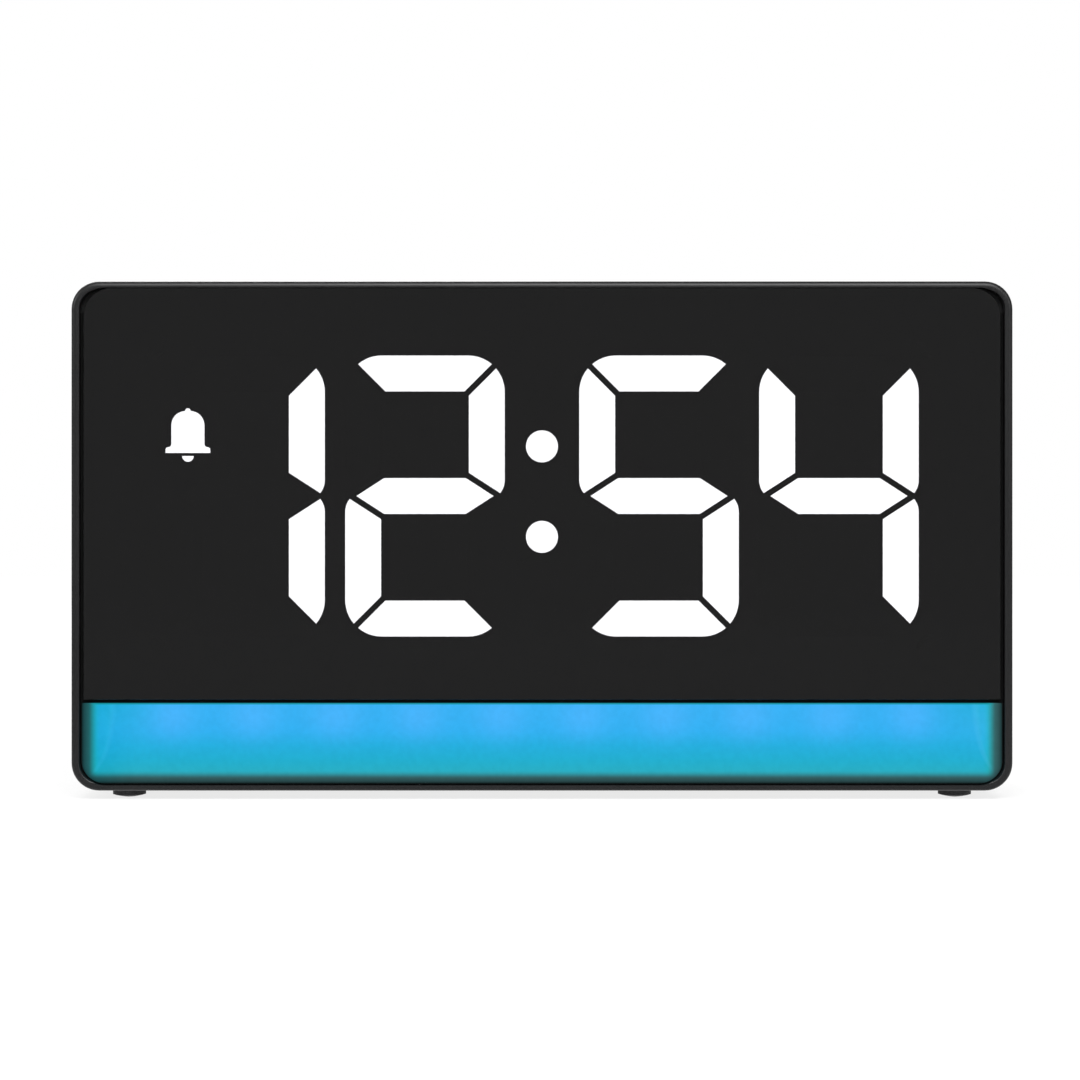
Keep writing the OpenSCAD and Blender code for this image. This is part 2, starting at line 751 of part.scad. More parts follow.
// Digit segments, drawn in x and z about the digit's centre and grown by g on every side
slope = waist_drop / seg_t;
slant = sqrt(1 + slope * slope);
waist_z = 2.85;
module half_digit(g) {
    w = digit_w / 2 + g;
    h = digit_h / 2 + g;
    r = digit_r + g;
    translate([r - w, 0]) square([2 * (w - r), h]);
    translate([-w, waist_z]) square([2 * w, h - r - waist_z]);
    translate([waist_r - w, 0]) square([2 * (w - waist_r), h - r]);
    for (sx = [-1, 1]) {
        translate([sx * (w - r), h - r]) circle(r);
        translate([sx * (w - waist_r), waist_z]) circle(waist_r);
    }
}
module top_segment(g) intersection() {
    w = digit_w / 2 + g;
    h = digit_h / 2 + g;
    t = seg_t + 2 * g;
    c = (seg_gap - 2 * g) / sqrt(2);
    half_digit(g);
    polygon([[t + c - w, h - t], [w - t - c, h - t], [w - c, h], [c - w, h]]);
}
module side_segment(g) intersection() {
    w = digit_w / 2 + g;
    h = digit_h / 2 + g;
    t = seg_t + 2 * g;
    c = (seg_gap - 2 * g) / sqrt(2);
    half_digit(g);
    polygon([[w - t, h - t - c], [w, h - c], [w, -g * (slant + slope)], [w - t, waist_drop - g * (slant - slope)]]);
}
module middle_segment(g) {
    h = seg_t / 2 + g;
    tip = digit_w / 2 - (seg_gap - g) * slant / slope;
    shoulder = tip - h / slope;
    polygon([[-tip, 0], [-shoulder, h], [shoulder, h], [tip, 0], [shoulder, -h], [-shoulder, -h]]);
}
module segment(name, g) {
    if (name == "a") top_segment(g);
    if (name == "b") side_segment(g);
    if (name == "c") mirror([0, 1]) side_segment(g);
    if (name == "d") rotate(180) top_segment(g);
    if (name == "e") rotate(180) side_segment(g);
    if (name == "f") mirror([1, 0]) side_segment(g);
    if (name == "g") middle_segment(g);
}
function digit_x(i) = (i < 2 ? -1 : 1) * (colon_room / 2 + digit_pitch * (i == 1 || i == 2 ? 0.5 : 1.5));
function is_lit(i, name) = len(search(name, LIT[i])) > 0;
module digit_place(i) translate([digit_x(i), display_z]) children();
module colon_outline(g) for (dz = [colon_rise, -colon_fall])
    translate([0, display_z + dz]) circle(d = colon_d + 2 * g);

// Alarm bell: knob, dome, skirt and rim, with the clapper under it
bell_x = digit_x(0) - bell_side;
bell_rim_h = 1.05;
bell_rim_r = 0.45;
bell_flare = 0.6;
bell_knob_r = 0.5;
clapper_r = 1.05;
clapper_gap = 0.55;
module bell_outline(g) translate([bell_x, display_z + bell_up]) {
    shoulder = bell_r - bell_round;
    for (sx = [-1, 1]) translate([sx * shoulder, bell_dome]) circle(bell_round + g);
    translate([-shoulder, 0]) square([2 * shoulder, bell_dome + bell_round + g]);
    translate([-bell_r - g, -g]) square([2 * (bell_r + g), bell_dome + g]);
    translate([0, bell_dome + bell_round]) circle(bell_knob_r + g);
    for (m = [0, 1]) mirror([m, 0]) {
        difference() {
            translate([0, -g]) square([bell_w / 2 + g, bell_rim_h + 2 * g]);
            translate([bell_w / 2 + g, bell_rim_h + g]) rotate(180) corner_cut(bell_rim_r);
        }
        difference() {
            translate([0, bell_rim_h]) square([bell_r + bell_flare, bell_flare]);
            translate([bell_r + bell_flare, bell_rim_h + bell_flare]) circle(bell_flare - g);
        }
    }
    translate([0, -clapper_gap]) intersection() {
        circle(clapper_r + g);
        translate([-2 * clapper_r, -2 * clapper_r]) square([4 * clapper_r, 2 * clapper_r + g]);
    }
}

// Display: black block with a cavity for each segment, milky inserts, LED board behind
module display_block() color(MASK) slab(block_y0, board_y0) difference() {
    translate([0, display_z]) square([block_w, block_h], center = true);
    display_boss_outline(block_room);
    for (i = [0 : 3]) for (s = FITTED[i]) digit_place(i) segment(s, insert_gap);
    colon_outline(insert_gap);
    bell_outline(insert_gap);
}
module inserts(lit) slab(block_y0, block_y0 + insert_t)
    for (i = [0 : 3]) for (s = FITTED[i]) if (is_lit(i, s) == lit) digit_place(i) segment(s, 0);
module lit_segments() color(LIT_WHITE) inserts(true);
module dark_segments() color(MASK) inserts(false);
module colon_dots() color(LIT_WHITE) slab(block_y0, block_y0 + insert_t) colon_outline(0);
module alarm_bell() color(LIT_WHITE) slab(block_y0, block_y0 + insert_t) bell_outline(0);
module display_board() color(BOARD) difference() {
    slab(board_y0, board_y1) translate([0, display_z]) square([display_board_w, display_board_h], center = true);
    display_boss_places() rod(0, 0, board_screw + 4 * screw_gap, board_y0 - past, board_y1 + past);
}
function segment_at(s) = let (x = (digit_w - seg_t) / 2, z = (digit_h - seg_t) / 2)
    s == "a" ? [0, z] : s == "b" ? [x, z / 2] : s == "c" ? [x, -z / 2] : s == "d" ? [0, -z] :
    s == "e" ? [-x, -z / 2] : s == "f" ? [-x, z / 2] : [0, 0];
module display_chip(x, z) block(x - chip_w / 2, x + chip_w / 2, board_y0 - chip_t, board_y0,
                                display_z + z - chip_h / 2, display_z + z + chip_h / 2);
module display_leds() color(WHITE) {
    for (i = [0 : 3]) for (s = FITTED[i]) display_chip(digit_x(i) + segment_at(s)[0], segment_at(s)[1]);
    for (dz = [colon_rise, -colon_fall]) display_chip(0, dz);
    display_chip(bell_x, bell_up + bell_dome / 2);
}

// Ribbon between the display board and the main board, and the sockets it plugs into
module ribbon_sockets() color(WHITE) {
    half = ribbon_w / 2 + socket_edge;
    for (y = [board_y1, main_y0 - socket_t])
        block(ribbon_x - half, ribbon_x + half, y, y + socket_t, socket_z, socket_z + socket_h);
}
module display_ribbon() color(RIBBON) side_slab(ribbon_x - ribbon_w / 2, ribbon_x + ribbon_w / 2) {
    ya = board_y1 + socket_t / 2;
    yb = main_y0 - socket_t / 2;
    bend = (yb - ya) / 2;
    for (y = [ya, yb]) translate([y - ribbon_t / 2, ribbon_bend_z]) square([ribbon_t, socket_z - ribbon_bend_z]);
    translate([(ya + yb) / 2, ribbon_bend_z]) intersection() {
        difference() {
            circle(bend + ribbon_t / 2);
            circle(bend - ribbon_t / 2);
        }
        translate([-bend - past, -bend - past]) square([2 * (bend + past), bend + past]);
    }
}

// Flat leads that sag a little between two headers
module lead(x, w, ya, z) side_slab(x - w / 2, x + w / 2) {
    half = (main_header_y - ya) / 2;
    r = (half * half + lead_sag * lead_sag) / (2 * lead_sag);
    translate([ya + half, z - lead_sag + r]) intersection() {
        difference() {
            circle(r + lead_t / 2);
            circle(r - lead_t / 2);
        }
        translate([-half, -2 * r]) square([2 * half, 2 * r]);
    }
}
module header(x, w, ya, yb, z) block(x - w / 2 - header_edge, x + w / 2 + header_edge, ya, yb,
                                     z - header_t / 2, z + header_t / 2);
module lead_headers() color(WHITE) {
    header(light_lead_x, light_lead_w, light_header_y - header_d, light_header_y, light_lead_z);
    header(light_lead_x, light_lead_w, main_header_y, main_y0, light_lead_z);
    header(snooze_lead_x, snooze_lead_w, snooze_header_y - header_d, snooze_header_y, snooze_lead_z);
    header(snooze_lead_x, snooze_lead_w, main_header_y, main_y0, snooze_lead_z);
}
module light_lead() color(LEAD) lead(light_lead_x, light_lead_w, light_header_y, light_lead_z);
module snooze_lead() color(LEAD) lead(snooze_lead_x, snooze_lead_w, snooze_header_y, snooze_lead_z);

// Main board and the parts soldered to it
module main_board() color(BOARD) difference() {
    block(-main_w / 2, main_w / 2, main_y0, main_y1, main_z0, main_z1);
    standoff_places() rod(0, 0, board_screw + 4 * screw_gap, main_y0 - past, main_y1 + past);
}
module controller_chip() color(CHIP) slab(main_y0 - controller_t, main_y0)
    translate([controller_x, z0 + controller_up]) square(controller_w, center = true);
module capacitors() color(SLEEVE) for (side = [-1, 1])
    rod(capacitor_x + side * capacitor_pitch / 2, capacitor_z, capacitor_d, main_y0 - capacitor_h, main_y0);
module buzzer() color(CHIP) difference() {
    rod(buzzer_x, buzzer_z, buzzer_d, main_y1, main_y1 + buzzer_h);
    rod(buzzer_x, buzzer_z, buzzer_hole, main_y1 + buzzer_h / 2, main_y1 + buzzer_h + past);
}

// Push switches: a square can with a round plunger that the key pushes
module switch_can(travel) difference() {
    translate([-switch_w / 2, -switch_w / 2, 0]) cube([switch_w, switch_w, switch_body]);
    translate([0, 0, switch_body - plunger_in - travel - seat_gap])
        cylinder(d = plunger_d + 2 * slide_gap, h = switch_body);
}
module plunger() translate([0, 0, switch_body - plunger_in])
    cylinder(d = plunger_d, h = switch_h - switch_body + plunger_in);
module key_switches() color(METAL) key_places() translate([0, main_y1, 0]) rotate([-90, 0, 0]) switch_can(key_travel);
module rear_plunger(i) color(RUBBER)
    translate([(i - 2.5) * key_pitch, main_y1, strip_z]) rotate([-90, 0, 0]) plunger();
module rear_key(i) color(KEY) translate([(i - 2.5) * key_pitch, 0, strip_z]) {
    slab(flange_y0, key_face) round_rect(key_w, key_h, key_r);
    slab(flange_y0, flange_y1) round_rect(key_w + 2 * flange_rim, key_h + 2 * flange_rim, key_r);
    rod(0, 0, stem_d, plunger_y1, flange_y1);
}

// Alarm slide switch and its thumb piece
module alarm_switch() color(METAL) difference() {
    block(slider_mid - slide_can_w / 2, slider_mid + slide_can_w / 2, main_y1, main_y1 + slide_can_t,
          strip_z - slide_can_h / 2, strip_z + slide_can_h / 2);
    half = slider_stem / 2 + slide_gap;
    block(slider_x - slider_stem / 2 - key_gap, slider_x + slider_travel + slider_stem / 2 + key_gap,
          main_y1 + slide_can_floor, main_y1 + slide_can_t + past, strip_z - half, strip_z + half);
}
module alarm_slider() color(KEY) translate([slider_x, 0, strip_z]) {
    slab(main_y1 + slide_can_floor + seat_gap, flange_y1) square(slider_stem, center = true);
    slab(flange_y0, flange_y1) square([slider_flange_w, slider_h + 2 * flange_rim], center = true);
    slab(flange_y0, key_face) square([slider_w, slider_h], center = true);
}

// Snooze key in the top, with its switch on a small board
module snooze_key() color(KEY) translate([0, snooze_y, 0]) {
    translate([0, 0, snooze_flange_z0]) linear_extrude(z1 - snooze_sink - snooze_flange_z0)
        round_rect(snooze_w, snooze_d, snooze_r);
    translate([0, 0, snooze_flange_z0]) linear_extrude(flange_t)
        round_rect(snooze_w + 2 * flange_rim, snooze_d + 2 * flange_rim, snooze_r);
    post(0, 0, stem_d, snooze_tip_z, snooze_flange_z1);
}
module snooze_plunger() color(RUBBER) translate([0, snooze_y, snooze_board_z1]) plunger();
module snooze_switch() color(METAL) translate([0, snooze_y, snooze_board_z1]) switch_can(snooze_travel);
module snooze_board() color(BOARD) difference() {
    block(-snooze_board_w / 2, snooze_board_w / 2, snooze_y - snooze_board_d / 2, snooze_y + snooze_board_d / 2,
          snooze_board_z0, snooze_board_z1);
    for (sx = [-1, 1]) post(sx * snooze_boss_x, snooze_y, board_screw + 4 * screw_gap,
                            snooze_board_z0 - past, snooze_board_z1 + past);
}

// Low-voltage inlet
module dc_jack() color(CHIP) difference() {
    union() {
        slab(main_y1, jack_body_y1) translate([jack_x, jack_z]) square(jack_w, center = true);
        rod(jack_x, jack_z, jack_nose, jack_body_y1 - root, jack_face);
    }
    rod(jack_x, jack_z, jack_bore, jack_floor, jack_face + past);
}
module dc_jack_pin() color(METAL) rod(jack_x, jack_z, jack_pin, jack_floor, jack_face - jack_pin_sink);

// Battery door on its hinge pins, coin cell and its contacts
module battery_door() color(SHELL) {
    difference() {
        slab(door_y0, yr) intersection() {
            door_outline(0);
            translate([door_x - door_w, hinge_z]) square(2 * door_w);
        }
        rod(door_x, door_z + door_w / 2, notch_d, yr - notch_t, yr + past);
    }
    bar(hinge_y, hinge_z, door_t, door_x - door_w / 2, door_x + door_w / 2);
    pin_end = door_w / 2 + hinge_pin_len;
    bar(hinge_y, hinge_z, hinge_pin_d, door_x - pin_end, door_x + pin_end);
    rod(door_x, door_z, door_pad_d, cell_y1 + seat_gap, door_y0 + root);
}
module backup_cell() color(METAL) {
    rod(door_x, door_z, cell_d * 0.85, cell_y0, cell_y1);
    rod(door_x, door_z, cell_d, cell_y0 + cell_step, cell_y1);
}
module cell_spring() color(GOLD) {
    rod(door_x, door_z, cell_spring_d, cup_y1, cup_y1 + contact_t);
    rod(door_x, door_z, cell_spring_tip, cup_y1, cell_y0);
}
module cell_clip() color(GOLD) intersection() {
    difference() {
        rod(door_x, door_z, cup_d - 2 * clip_fit, cup_y1, cell_y1);
        rod(door_x, door_z, cell_d + 2 * clip_fit, cup_y1 - past, cell_y1 + past);
    }
    block(door_x - clip_w / 2, door_x + clip_w / 2, cup_y1, cell_y1, door_z, door_z + cell_d);
}

// Screws: shank, round head and cross slot, with the head's seat at the origin and its top towards +z
module screw(d, len, head_d, head_t) difference() {
    slot_w = head_d * 0.14;
    slot_len = head_d * 0.64;
    union() {
        translate([0, 0, -len]) cylinder(d = d, h = len + head_t / 2);
        cylinder(d = head_d, h = head_t);
    }
    for (a = [0, 90]) rotate(a) translate([-slot_len / 2, -slot_w / 2, head_t * 0.45]) cube([slot_len, slot_w, head_t]);
}
module board_fastener(len) screw(board_screw, len, board_head_d, board_head_t);
module case_screws() color(METAL) for (c = CASE) translate([c[0], case_seat, c[1]]) rotate([-90, 0, 0])
    screw(case_screw, case_screw_len, case_head_d, case_head_t);
module display_screws() color(METAL) display_boss_places() translate([0, board_y1, 0]) rotate([-90, 0, 0])
    board_fastener(board_screw_len);
module main_board_screws() color(METAL) standoff_places() translate([0, main_y0, 0]) rotate([90, 0, 0])
    board_fastener(board_screw_len);
module snooze_screws() color(METAL) for (sx = [-1, 1]) translate([sx * snooze_boss_x, snooze_y, snooze_board_z0])
    rotate([180, 0, 0]) board_fastener(board_screw_len);
module reflector_screws() color(METAL) for (sx = [-1, 1]) translate([sx * ear_x, ear_y0 + ear_t, ear_z])
    rotate([-90, 0, 0]) board_fastener(ear_screw_len);

front_housing();
rear_cover();
display_window();
window_tape();
feet();
light_diffuser();
light_reflector();
light_board();
light_leds();
light_lead();
display_block();
lit_segments();
dark_segments();
colon_dots();
alarm_bell();
display_board();
display_leds();
display_ribbon();
main_board();
controller_chip();
capacitors();
buzzer();
lead_headers();
ribbon_sockets();
key_switches();
rear_key(0);  // time_key
rear_key(1);  // alarm_key
rear_key(2);  // down_key
rear_key(3);  // up_key
rear_key(4);  // light_key
rear_plunger(0);  // time_plunger
rear_plunger(1);  // alarm_plunger
rear_plunger(2);  // down_plunger
rear_plunger(3);  // up_plunger
rear_plunger(4);  // light_plunger
alarm_switch();
alarm_slider();
snooze_key();
snooze_plunger();
snooze_switch();
snooze_board();
snooze_lead();
dc_jack();
dc_jack_pin();
battery_door();
backup_cell();
cell_spring();
cell_clip();
case_screws();
display_screws();
main_board_screws();
snooze_screws();
reflector_screws();
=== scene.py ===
import bmesh
import bpy
import functools
import math
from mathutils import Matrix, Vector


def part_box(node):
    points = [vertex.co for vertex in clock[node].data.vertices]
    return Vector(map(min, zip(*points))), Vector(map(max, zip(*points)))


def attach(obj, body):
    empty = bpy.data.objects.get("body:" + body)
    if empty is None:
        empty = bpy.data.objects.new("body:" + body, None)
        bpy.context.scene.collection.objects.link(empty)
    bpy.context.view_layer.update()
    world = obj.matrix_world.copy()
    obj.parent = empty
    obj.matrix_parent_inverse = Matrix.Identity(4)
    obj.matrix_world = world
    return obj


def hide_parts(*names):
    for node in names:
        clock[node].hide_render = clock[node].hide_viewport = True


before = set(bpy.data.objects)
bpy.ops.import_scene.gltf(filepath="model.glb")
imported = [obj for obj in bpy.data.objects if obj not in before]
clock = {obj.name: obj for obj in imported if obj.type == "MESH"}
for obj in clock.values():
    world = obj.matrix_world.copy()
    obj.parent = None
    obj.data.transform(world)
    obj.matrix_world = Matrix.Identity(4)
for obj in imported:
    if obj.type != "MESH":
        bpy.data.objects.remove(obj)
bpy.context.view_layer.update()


# The view: a level camera half a metre in front of the clock, at the height of its middle and
# a hair to the left of it, with a long lens, as for a catalogue picture.
mm = 0.001
view_place = (-0.36, -522.5, 46.88)
view_lens = bpy.data.cameras.new("front_view")
view_lens.lens = 92.4
view_lens.sensor_width = 36.0
front_view = bpy.data.objects.new("front_view", view_lens)
front_view.location = [step * mm for step in view_place]
front_view.rotation_euler = (math.radians(90), 0, 0)
bpy.context.scene.collection.objects.link(front_view)
bpy.context.scene.camera = front_view
bpy.context.scene.view_settings.view_transform = "Standard"


# The studio: a white sweep that the clock stands on, pale walls, and soft boxes overhead, in
# front, at both sides and behind. The floor keeps a faint shadow under the clock. In a gloss it
# is bright close by, and farther off as pale as the walls.


def wire(tree, kind, inputs, **settings):
    """Adds a node, sets it, and joins its inputs to other nodes' outputs or to plain values."""
    node = tree.nodes.new(kind)
    for name, value in settings.items():
        setattr(node, name, value)
    for name, value in inputs.items():
        if isinstance(value, bpy.types.NodeSocket):
            tree.links.new(value, node.inputs[name])
        else:
            node.inputs[name].default_value = value
    return node


def calc(tree, operation, *values):
    """One step of arithmetic on outputs or plain numbers."""
    inputs = {index: value for index, value in enumerate(values)}
    return wire(tree, "ShaderNodeMath", inputs, operation=operation).outputs[0]


def slope(tree, value, start, end):
    """A straight change between two levels, each given after the value where it holds."""
    return wire(tree, "ShaderNodeMapRange", {
        "Value": value, "From Min": start[0], "From Max": end[0],
        "To Min": start[1], "To Max": end[1]}).outputs[0]


def backdrop_rays(tree):
    """1 for what the camera sees directly or through the window, and 0 for light and gloss."""
    path = tree.nodes.new("ShaderNodeLightPath")
    return calc(tree, "MAXIMUM", path.outputs["Is Camera Ray"], path.outputs["Is Transmission Ray"])


white = (1, 1, 1, 1)
room_level = 0.37
walls = bpy.data.worlds.new("pale_walls")
walls.use_nodes = True
wall_tree = walls.node_tree
wall_tree.nodes.clear()
wall_light = wire(wall_tree, "ShaderNodeBackground", {"Color": white, "Strength": room_level})
wall_seen = wire(wall_tree, "ShaderNodeBackground", {"Color": white, "Strength": 1.0})
wall_mix = wire(wall_tree, "ShaderNodeMixShader", {
    0: backdrop_rays(wall_tree), 1: wall_light.outputs[0], 2: wall_seen.outputs[0]})
wire(wall_tree, "ShaderNodeOutputWorld", {"Surface": wall_mix.outputs[0]})
bpy.context.scene.world = walls

floor_size = 6.0
sweep_near, sweep_far = (0.3, 0.8), (1.2, 0.93)
pool_near, pool_far = (0.12, 0.9), (0.28, room_level)
bpy.ops.object.select_all(action="DESELECT")
bpy.ops.mesh.primitive_plane_add(size=floor_size, location=(0, 0, 0))
floor = bpy.context.object
floor.name = "floor"
floor_paint = bpy.data.materials.new("white_sweep")
floor_paint.use_nodes = True
floor_tree = floor_paint.node_tree
floor_tree.nodes.clear()
floor_light = wire(floor_tree, "ShaderNodeBsdfDiffuse", {"Color": (0.8, 0.8, 0.8, 1)})
floor_shade = wire(floor_tree, "ShaderNodeBsdfDiffuse", {"Color": (0.2, 0.2, 0.2, 1)})
floor_place = floor_tree.nodes.new("ShaderNodeTexCoord").outputs["Object"]
floor_reach = wire(floor_tree, "ShaderNodeVectorMath", {0: floor_place},
                   operation="LENGTH").outputs["Value"]
floor_glow = wire(floor_tree, "ShaderNodeEmission", {
    "Color": white, "Strength": slope(floor_tree, floor_reach, sweep_near, sweep_far)})
floor_seen = wire(floor_tree, "ShaderNodeAddShader", {
    0: floor_shade.outputs[0], 1: floor_glow.outputs[0]})
floor_gloss = wire(floor_tree, "ShaderNodeEmission", {
    "Color": white, "Strength": slope(floor_tree, floor_reach, pool_near, pool_far)})
floor_path = floor_tree.nodes.new("ShaderNodeLightPath")
floor_unseen = wire(floor_tree, "ShaderNodeMixShader", {
    0: floor_path.outputs["Is Glossy Ray"], 1: floor_light.outputs[0], 2: floor_gloss.outputs[0]})
floor_mix = wire(floor_tree, "ShaderNodeMixShader", {
    0: backdrop_rays(floor_tree), 1: floor_unseen.outputs[0], 2: floor_seen.outputs[0]})
wire(floor_tree, "ShaderNodeOutputMaterial", {"Surface": floor_mix.outputs[0]})
floor.data.materials.append(floor_paint)

light_aim = (0, 0, 0.05)


def soft_box(name, place, width, depth, watts):
    """A rectangular soft light at a place, turned to the middle of the clock. Sizes in metres."""
    lamp = bpy.data.lights.new(name, "AREA")
    lamp.shape = "RECTANGLE"
    lamp.size = width
    lamp.size_y = depth
    lamp.energy = watts
    box = bpy.data.objects.new(name, lamp)
    box.location = place
    toward = [b - a for a, b in zip(place, light_aim)]
    flat = math.hypot(toward[0], toward[1])
    box.rotation_euler = (math.atan2(flat, -toward[2]), 0, math.atan2(-toward[0], toward[1]))
    bpy.context.scene.collection.objects.link(box)


soft_box("top_light", (0.1, -0.68, 0.74), 0.8, 0.55, 11.5)
soft_box("front_light", (0.05, -0.95, 0.52), 1.0, 0.3, 1.8)
soft_box("right_light", (0.85, -0.6, 0.35), 0.3, 0.4, 1.5)
soft_box("left_light", (-1.0, -0.5, 0.5), 0.4, 0.4, 3.5)
soft_box("rear_light", (-0.4, 1.0, 0.8), 0.8, 0.4, 7.0)


def ink(red, green, blue):
    """A colour as a paint chart gives it, from 0 to 255, for a shader socket."""
    shares = [part / 255 for part in (red, green, blue)]
    return (*[s / 12.92 if s <= 0.04045 else ((s + 0.055) / 1.055) ** 2.4 for s in shares], 1.0)


def blend_ink(tree, share, first, second):
    """A colour between two others."""
    inputs = {0: share, 6: first, 7: second}
    return wire(tree, "ShaderNodeMix", inputs, data_type="RGBA").outputs[2]


def fade(tree, value, low, high, start=0.0, end=1.0):
    """A soft step from start to end as a value goes from low to high."""
    inputs = {"Value": value, "From Min": low, "From Max": high, "To Min": start, "To Max": end}
    return wire(tree, "ShaderNodeMapRange", inputs, interpolation_type="SMOOTHSTEP").outputs[0]


def grained(name, dark, light, grain, rough, depth, gloss=0.5, metal=0.0):
    """A finish whose colour, gloss and relief follow its grain: the grain's size along x, y and
    z and its depth are in mm, and rough is the range of its roughness."""
    fine_share, broad_share, broad_scale = 0.85, 0.15, 55.0
    tone_low, tone_high = 0.35, 0.65
    finish = bpy.data.materials.new(name)
    finish.use_nodes = True
    tree = finish.node_tree
    shader = tree.nodes["Principled BSDF"]
    place = tree.nodes.new("ShaderNodeTexCoord").outputs["Object"]
    stretch = wire(tree, "ShaderNodeMapping", {
        "Vector": place, "Scale": [1 / (size * mm) for size in grain]}).outputs[0]
    fine = wire(tree, "ShaderNodeTexNoise", {"Vector": stretch, "Scale": 1.0, "Detail": 3.0})
    broad = wire(tree, "ShaderNodeTexNoise", {
        "Vector": place, "Scale": broad_scale, "Detail": 2.0})
    tone = calc(tree, "ADD", calc(tree, "MULTIPLY", fine.outputs[0], fine_share),
                calc(tree, "MULTIPLY", broad.outputs[0], broad_share))
    tone = fade(tree, tone, tone_low, tone_high)
    tree.links.new(blend_ink(tree, tone, dark, light), shader.inputs["Base Color"])
    tree.links.new(fade(tree, tone, 0.0, 1.0, *rough), shader.inputs["Roughness"])
    relief = wire(tree, "ShaderNodeBump", {
        "Height": fine.outputs[0], "Distance": depth * mm, "Strength": 1.0})
    tree.links.new(relief.outputs[0], shader.inputs["Normal"])
    shader.inputs["Specular IOR Level"].default_value = gloss
    shader.inputs["Metallic"].default_value = metal
    return finish


def dress(finish, *names):
    """Gives solids of the clock a finish."""
    for name in names:
        for slot in clock[name].material_slots:
            slot.material = finish


case_plastic = grained("black_case_plastic", ink(12, 12, 13), ink(22, 22, 23), (0.3, 0.3, 0.3),
                       (0.34, 0.38), 0.012, gloss=0.3)
dress(case_plastic, "front_housing", "rear_cover")


# Four round feet of black rubber, pushed into blind holes in the case's underside. Each has
# straight sides and a shallow domed sole. The rubber is painted an even grey, lighter than
# black, to stand in for the light the floor throws up onto the feet: painted light.
rubber = grained("black_rubber", ink(50, 50, 51), ink(74, 74, 75), (0.6, 0.6, 0.6),
                 (0.6, 0.75), 0.02, gloss=0.4)
dress(rubber, "time_plunger", "alarm_plunger", "down_plunger", "up_plunger", "light_plunger",
      "snooze_plunger")


def select_where(kind, test):
    """In edit mode, selects only the edges or faces that pass a test."""
    bpy.ops.mesh.select_mode(type={"edges": "EDGE", "faces": "FACE"}[kind])
    bpy.ops.mesh.select_all(action="DESELECT")
    mesh = bmesh.from_edit_mesh(bpy.context.edit_object.data)
    for part in getattr(mesh, kind):
        if test(part):
            part.select_set(True)
    bmesh.update_edit_mesh(bpy.context.edit_object.data)


def at_level(axis, level):
    """A test for edges and faces whose points all lie at one level, in mm."""
    slack = 0.001 * mm
    return lambda part: all(abs(v.co[axis] - level * mm) < slack for v in part.verts)


def rod(name, centre, radius, length, axis, points=32):
    """Starts a round bar along an axis, in mm, and opens it in edit mode."""
    bpy.ops.object.select_all(action="DESELECT")
    turn = {0: (0, math.radians(90), 0), 1: (math.radians(90), 0, 0), 2: (0, 0, 0)}[axis]
    bpy.ops.mesh.primitive_cylinder_add(vertices=points, radius=radius * mm, depth=length * mm,
                                        location=[c * mm for c in centre], rotation=turn)
    piece = bpy.context.object
    piece.name = name
    bpy.ops.object.transform_apply(location=True, rotation=True, scale=True)
    bpy.ops.object.mode_set(mode="EDIT")
    return piece


def end_edit():
    """Leaves edit mode with the faces of the piece outward."""
    bpy.ops.mesh.select_all(action="SELECT")
    bpy.ops.mesh.normals_make_consistent(inside=False)
    bpy.ops.object.mode_set(mode="OBJECT")


def pick(piece):
    """Makes a piece the only one that is selected, and the active one."""
    bpy.ops.object.select_all(action="DESELECT")
    piece.select_set(True)
    bpy.context.view_layer.objects.active = piece


def copy_of(piece, name, move):
    """A copy of a finished shape, with its own mesh, moved by so many mm."""
    pick(piece)
    bpy.ops.object.duplicate(linked=False)
    copy = bpy.context.object
    copy.name = name
    bpy.ops.transform.translate(value=[step * mm for step in move])
    bpy.ops.object.transform_apply(location=True, rotation=True, scale=True)
    return copy


def join_pieces(first, *others):
    """Makes one mesh of several finished shapes."""
    pick(first)
    for piece in others:
        piece.select_set(True)
    bpy.ops.object.join()


def close_piece(piece, finish, body, slot, *stands_for):
    """Ends a piece: soft shading, its finish, and its place on the clock."""
    pick(piece)
    bpy.ops.object.shade_smooth_by_angle(angle=math.radians(35))
    piece.data.materials.clear()
    piece.data.materials.append(finish)
    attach(piece, body)
    if stands_for:
        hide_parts(*stands_for)


foot_low, foot_high = (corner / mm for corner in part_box("feet"))
foot_radius, sole_depth = 3.0, 0.45
sole_steps = ((0.6, 0.18), (0.75, 0.15), (0.75, 0.12))
sole_edge = foot_low.z + sole_depth
foot_x, foot_y = foot_high.x - foot_radius, foot_high.y - foot_radius
foot = rod("rubber_feet", (-foot_x, -foot_y, (sole_edge + foot_high.z) / 2),
           foot_radius, foot_high.z - sole_edge, 2, 48)
select_where("faces", at_level(2, sole_edge))
for inward, drop in sole_steps:
    bpy.ops.mesh.inset(thickness=inward * mm, depth=0.0)
    bpy.ops.transform.translate(value=(0, 0, -drop * mm))
end_edit()
other_feet = [copy_of(foot, "rubber_foot", move) for move in (
    (2 * foot_x, 0, 0), (0, 2 * foot_y, 0), (2 * foot_x, 2 * foot_y, 0))]
join_pieces(foot, *other_feet)
close_piece(foot, rubber, "case", "foot_rubber", "feet")


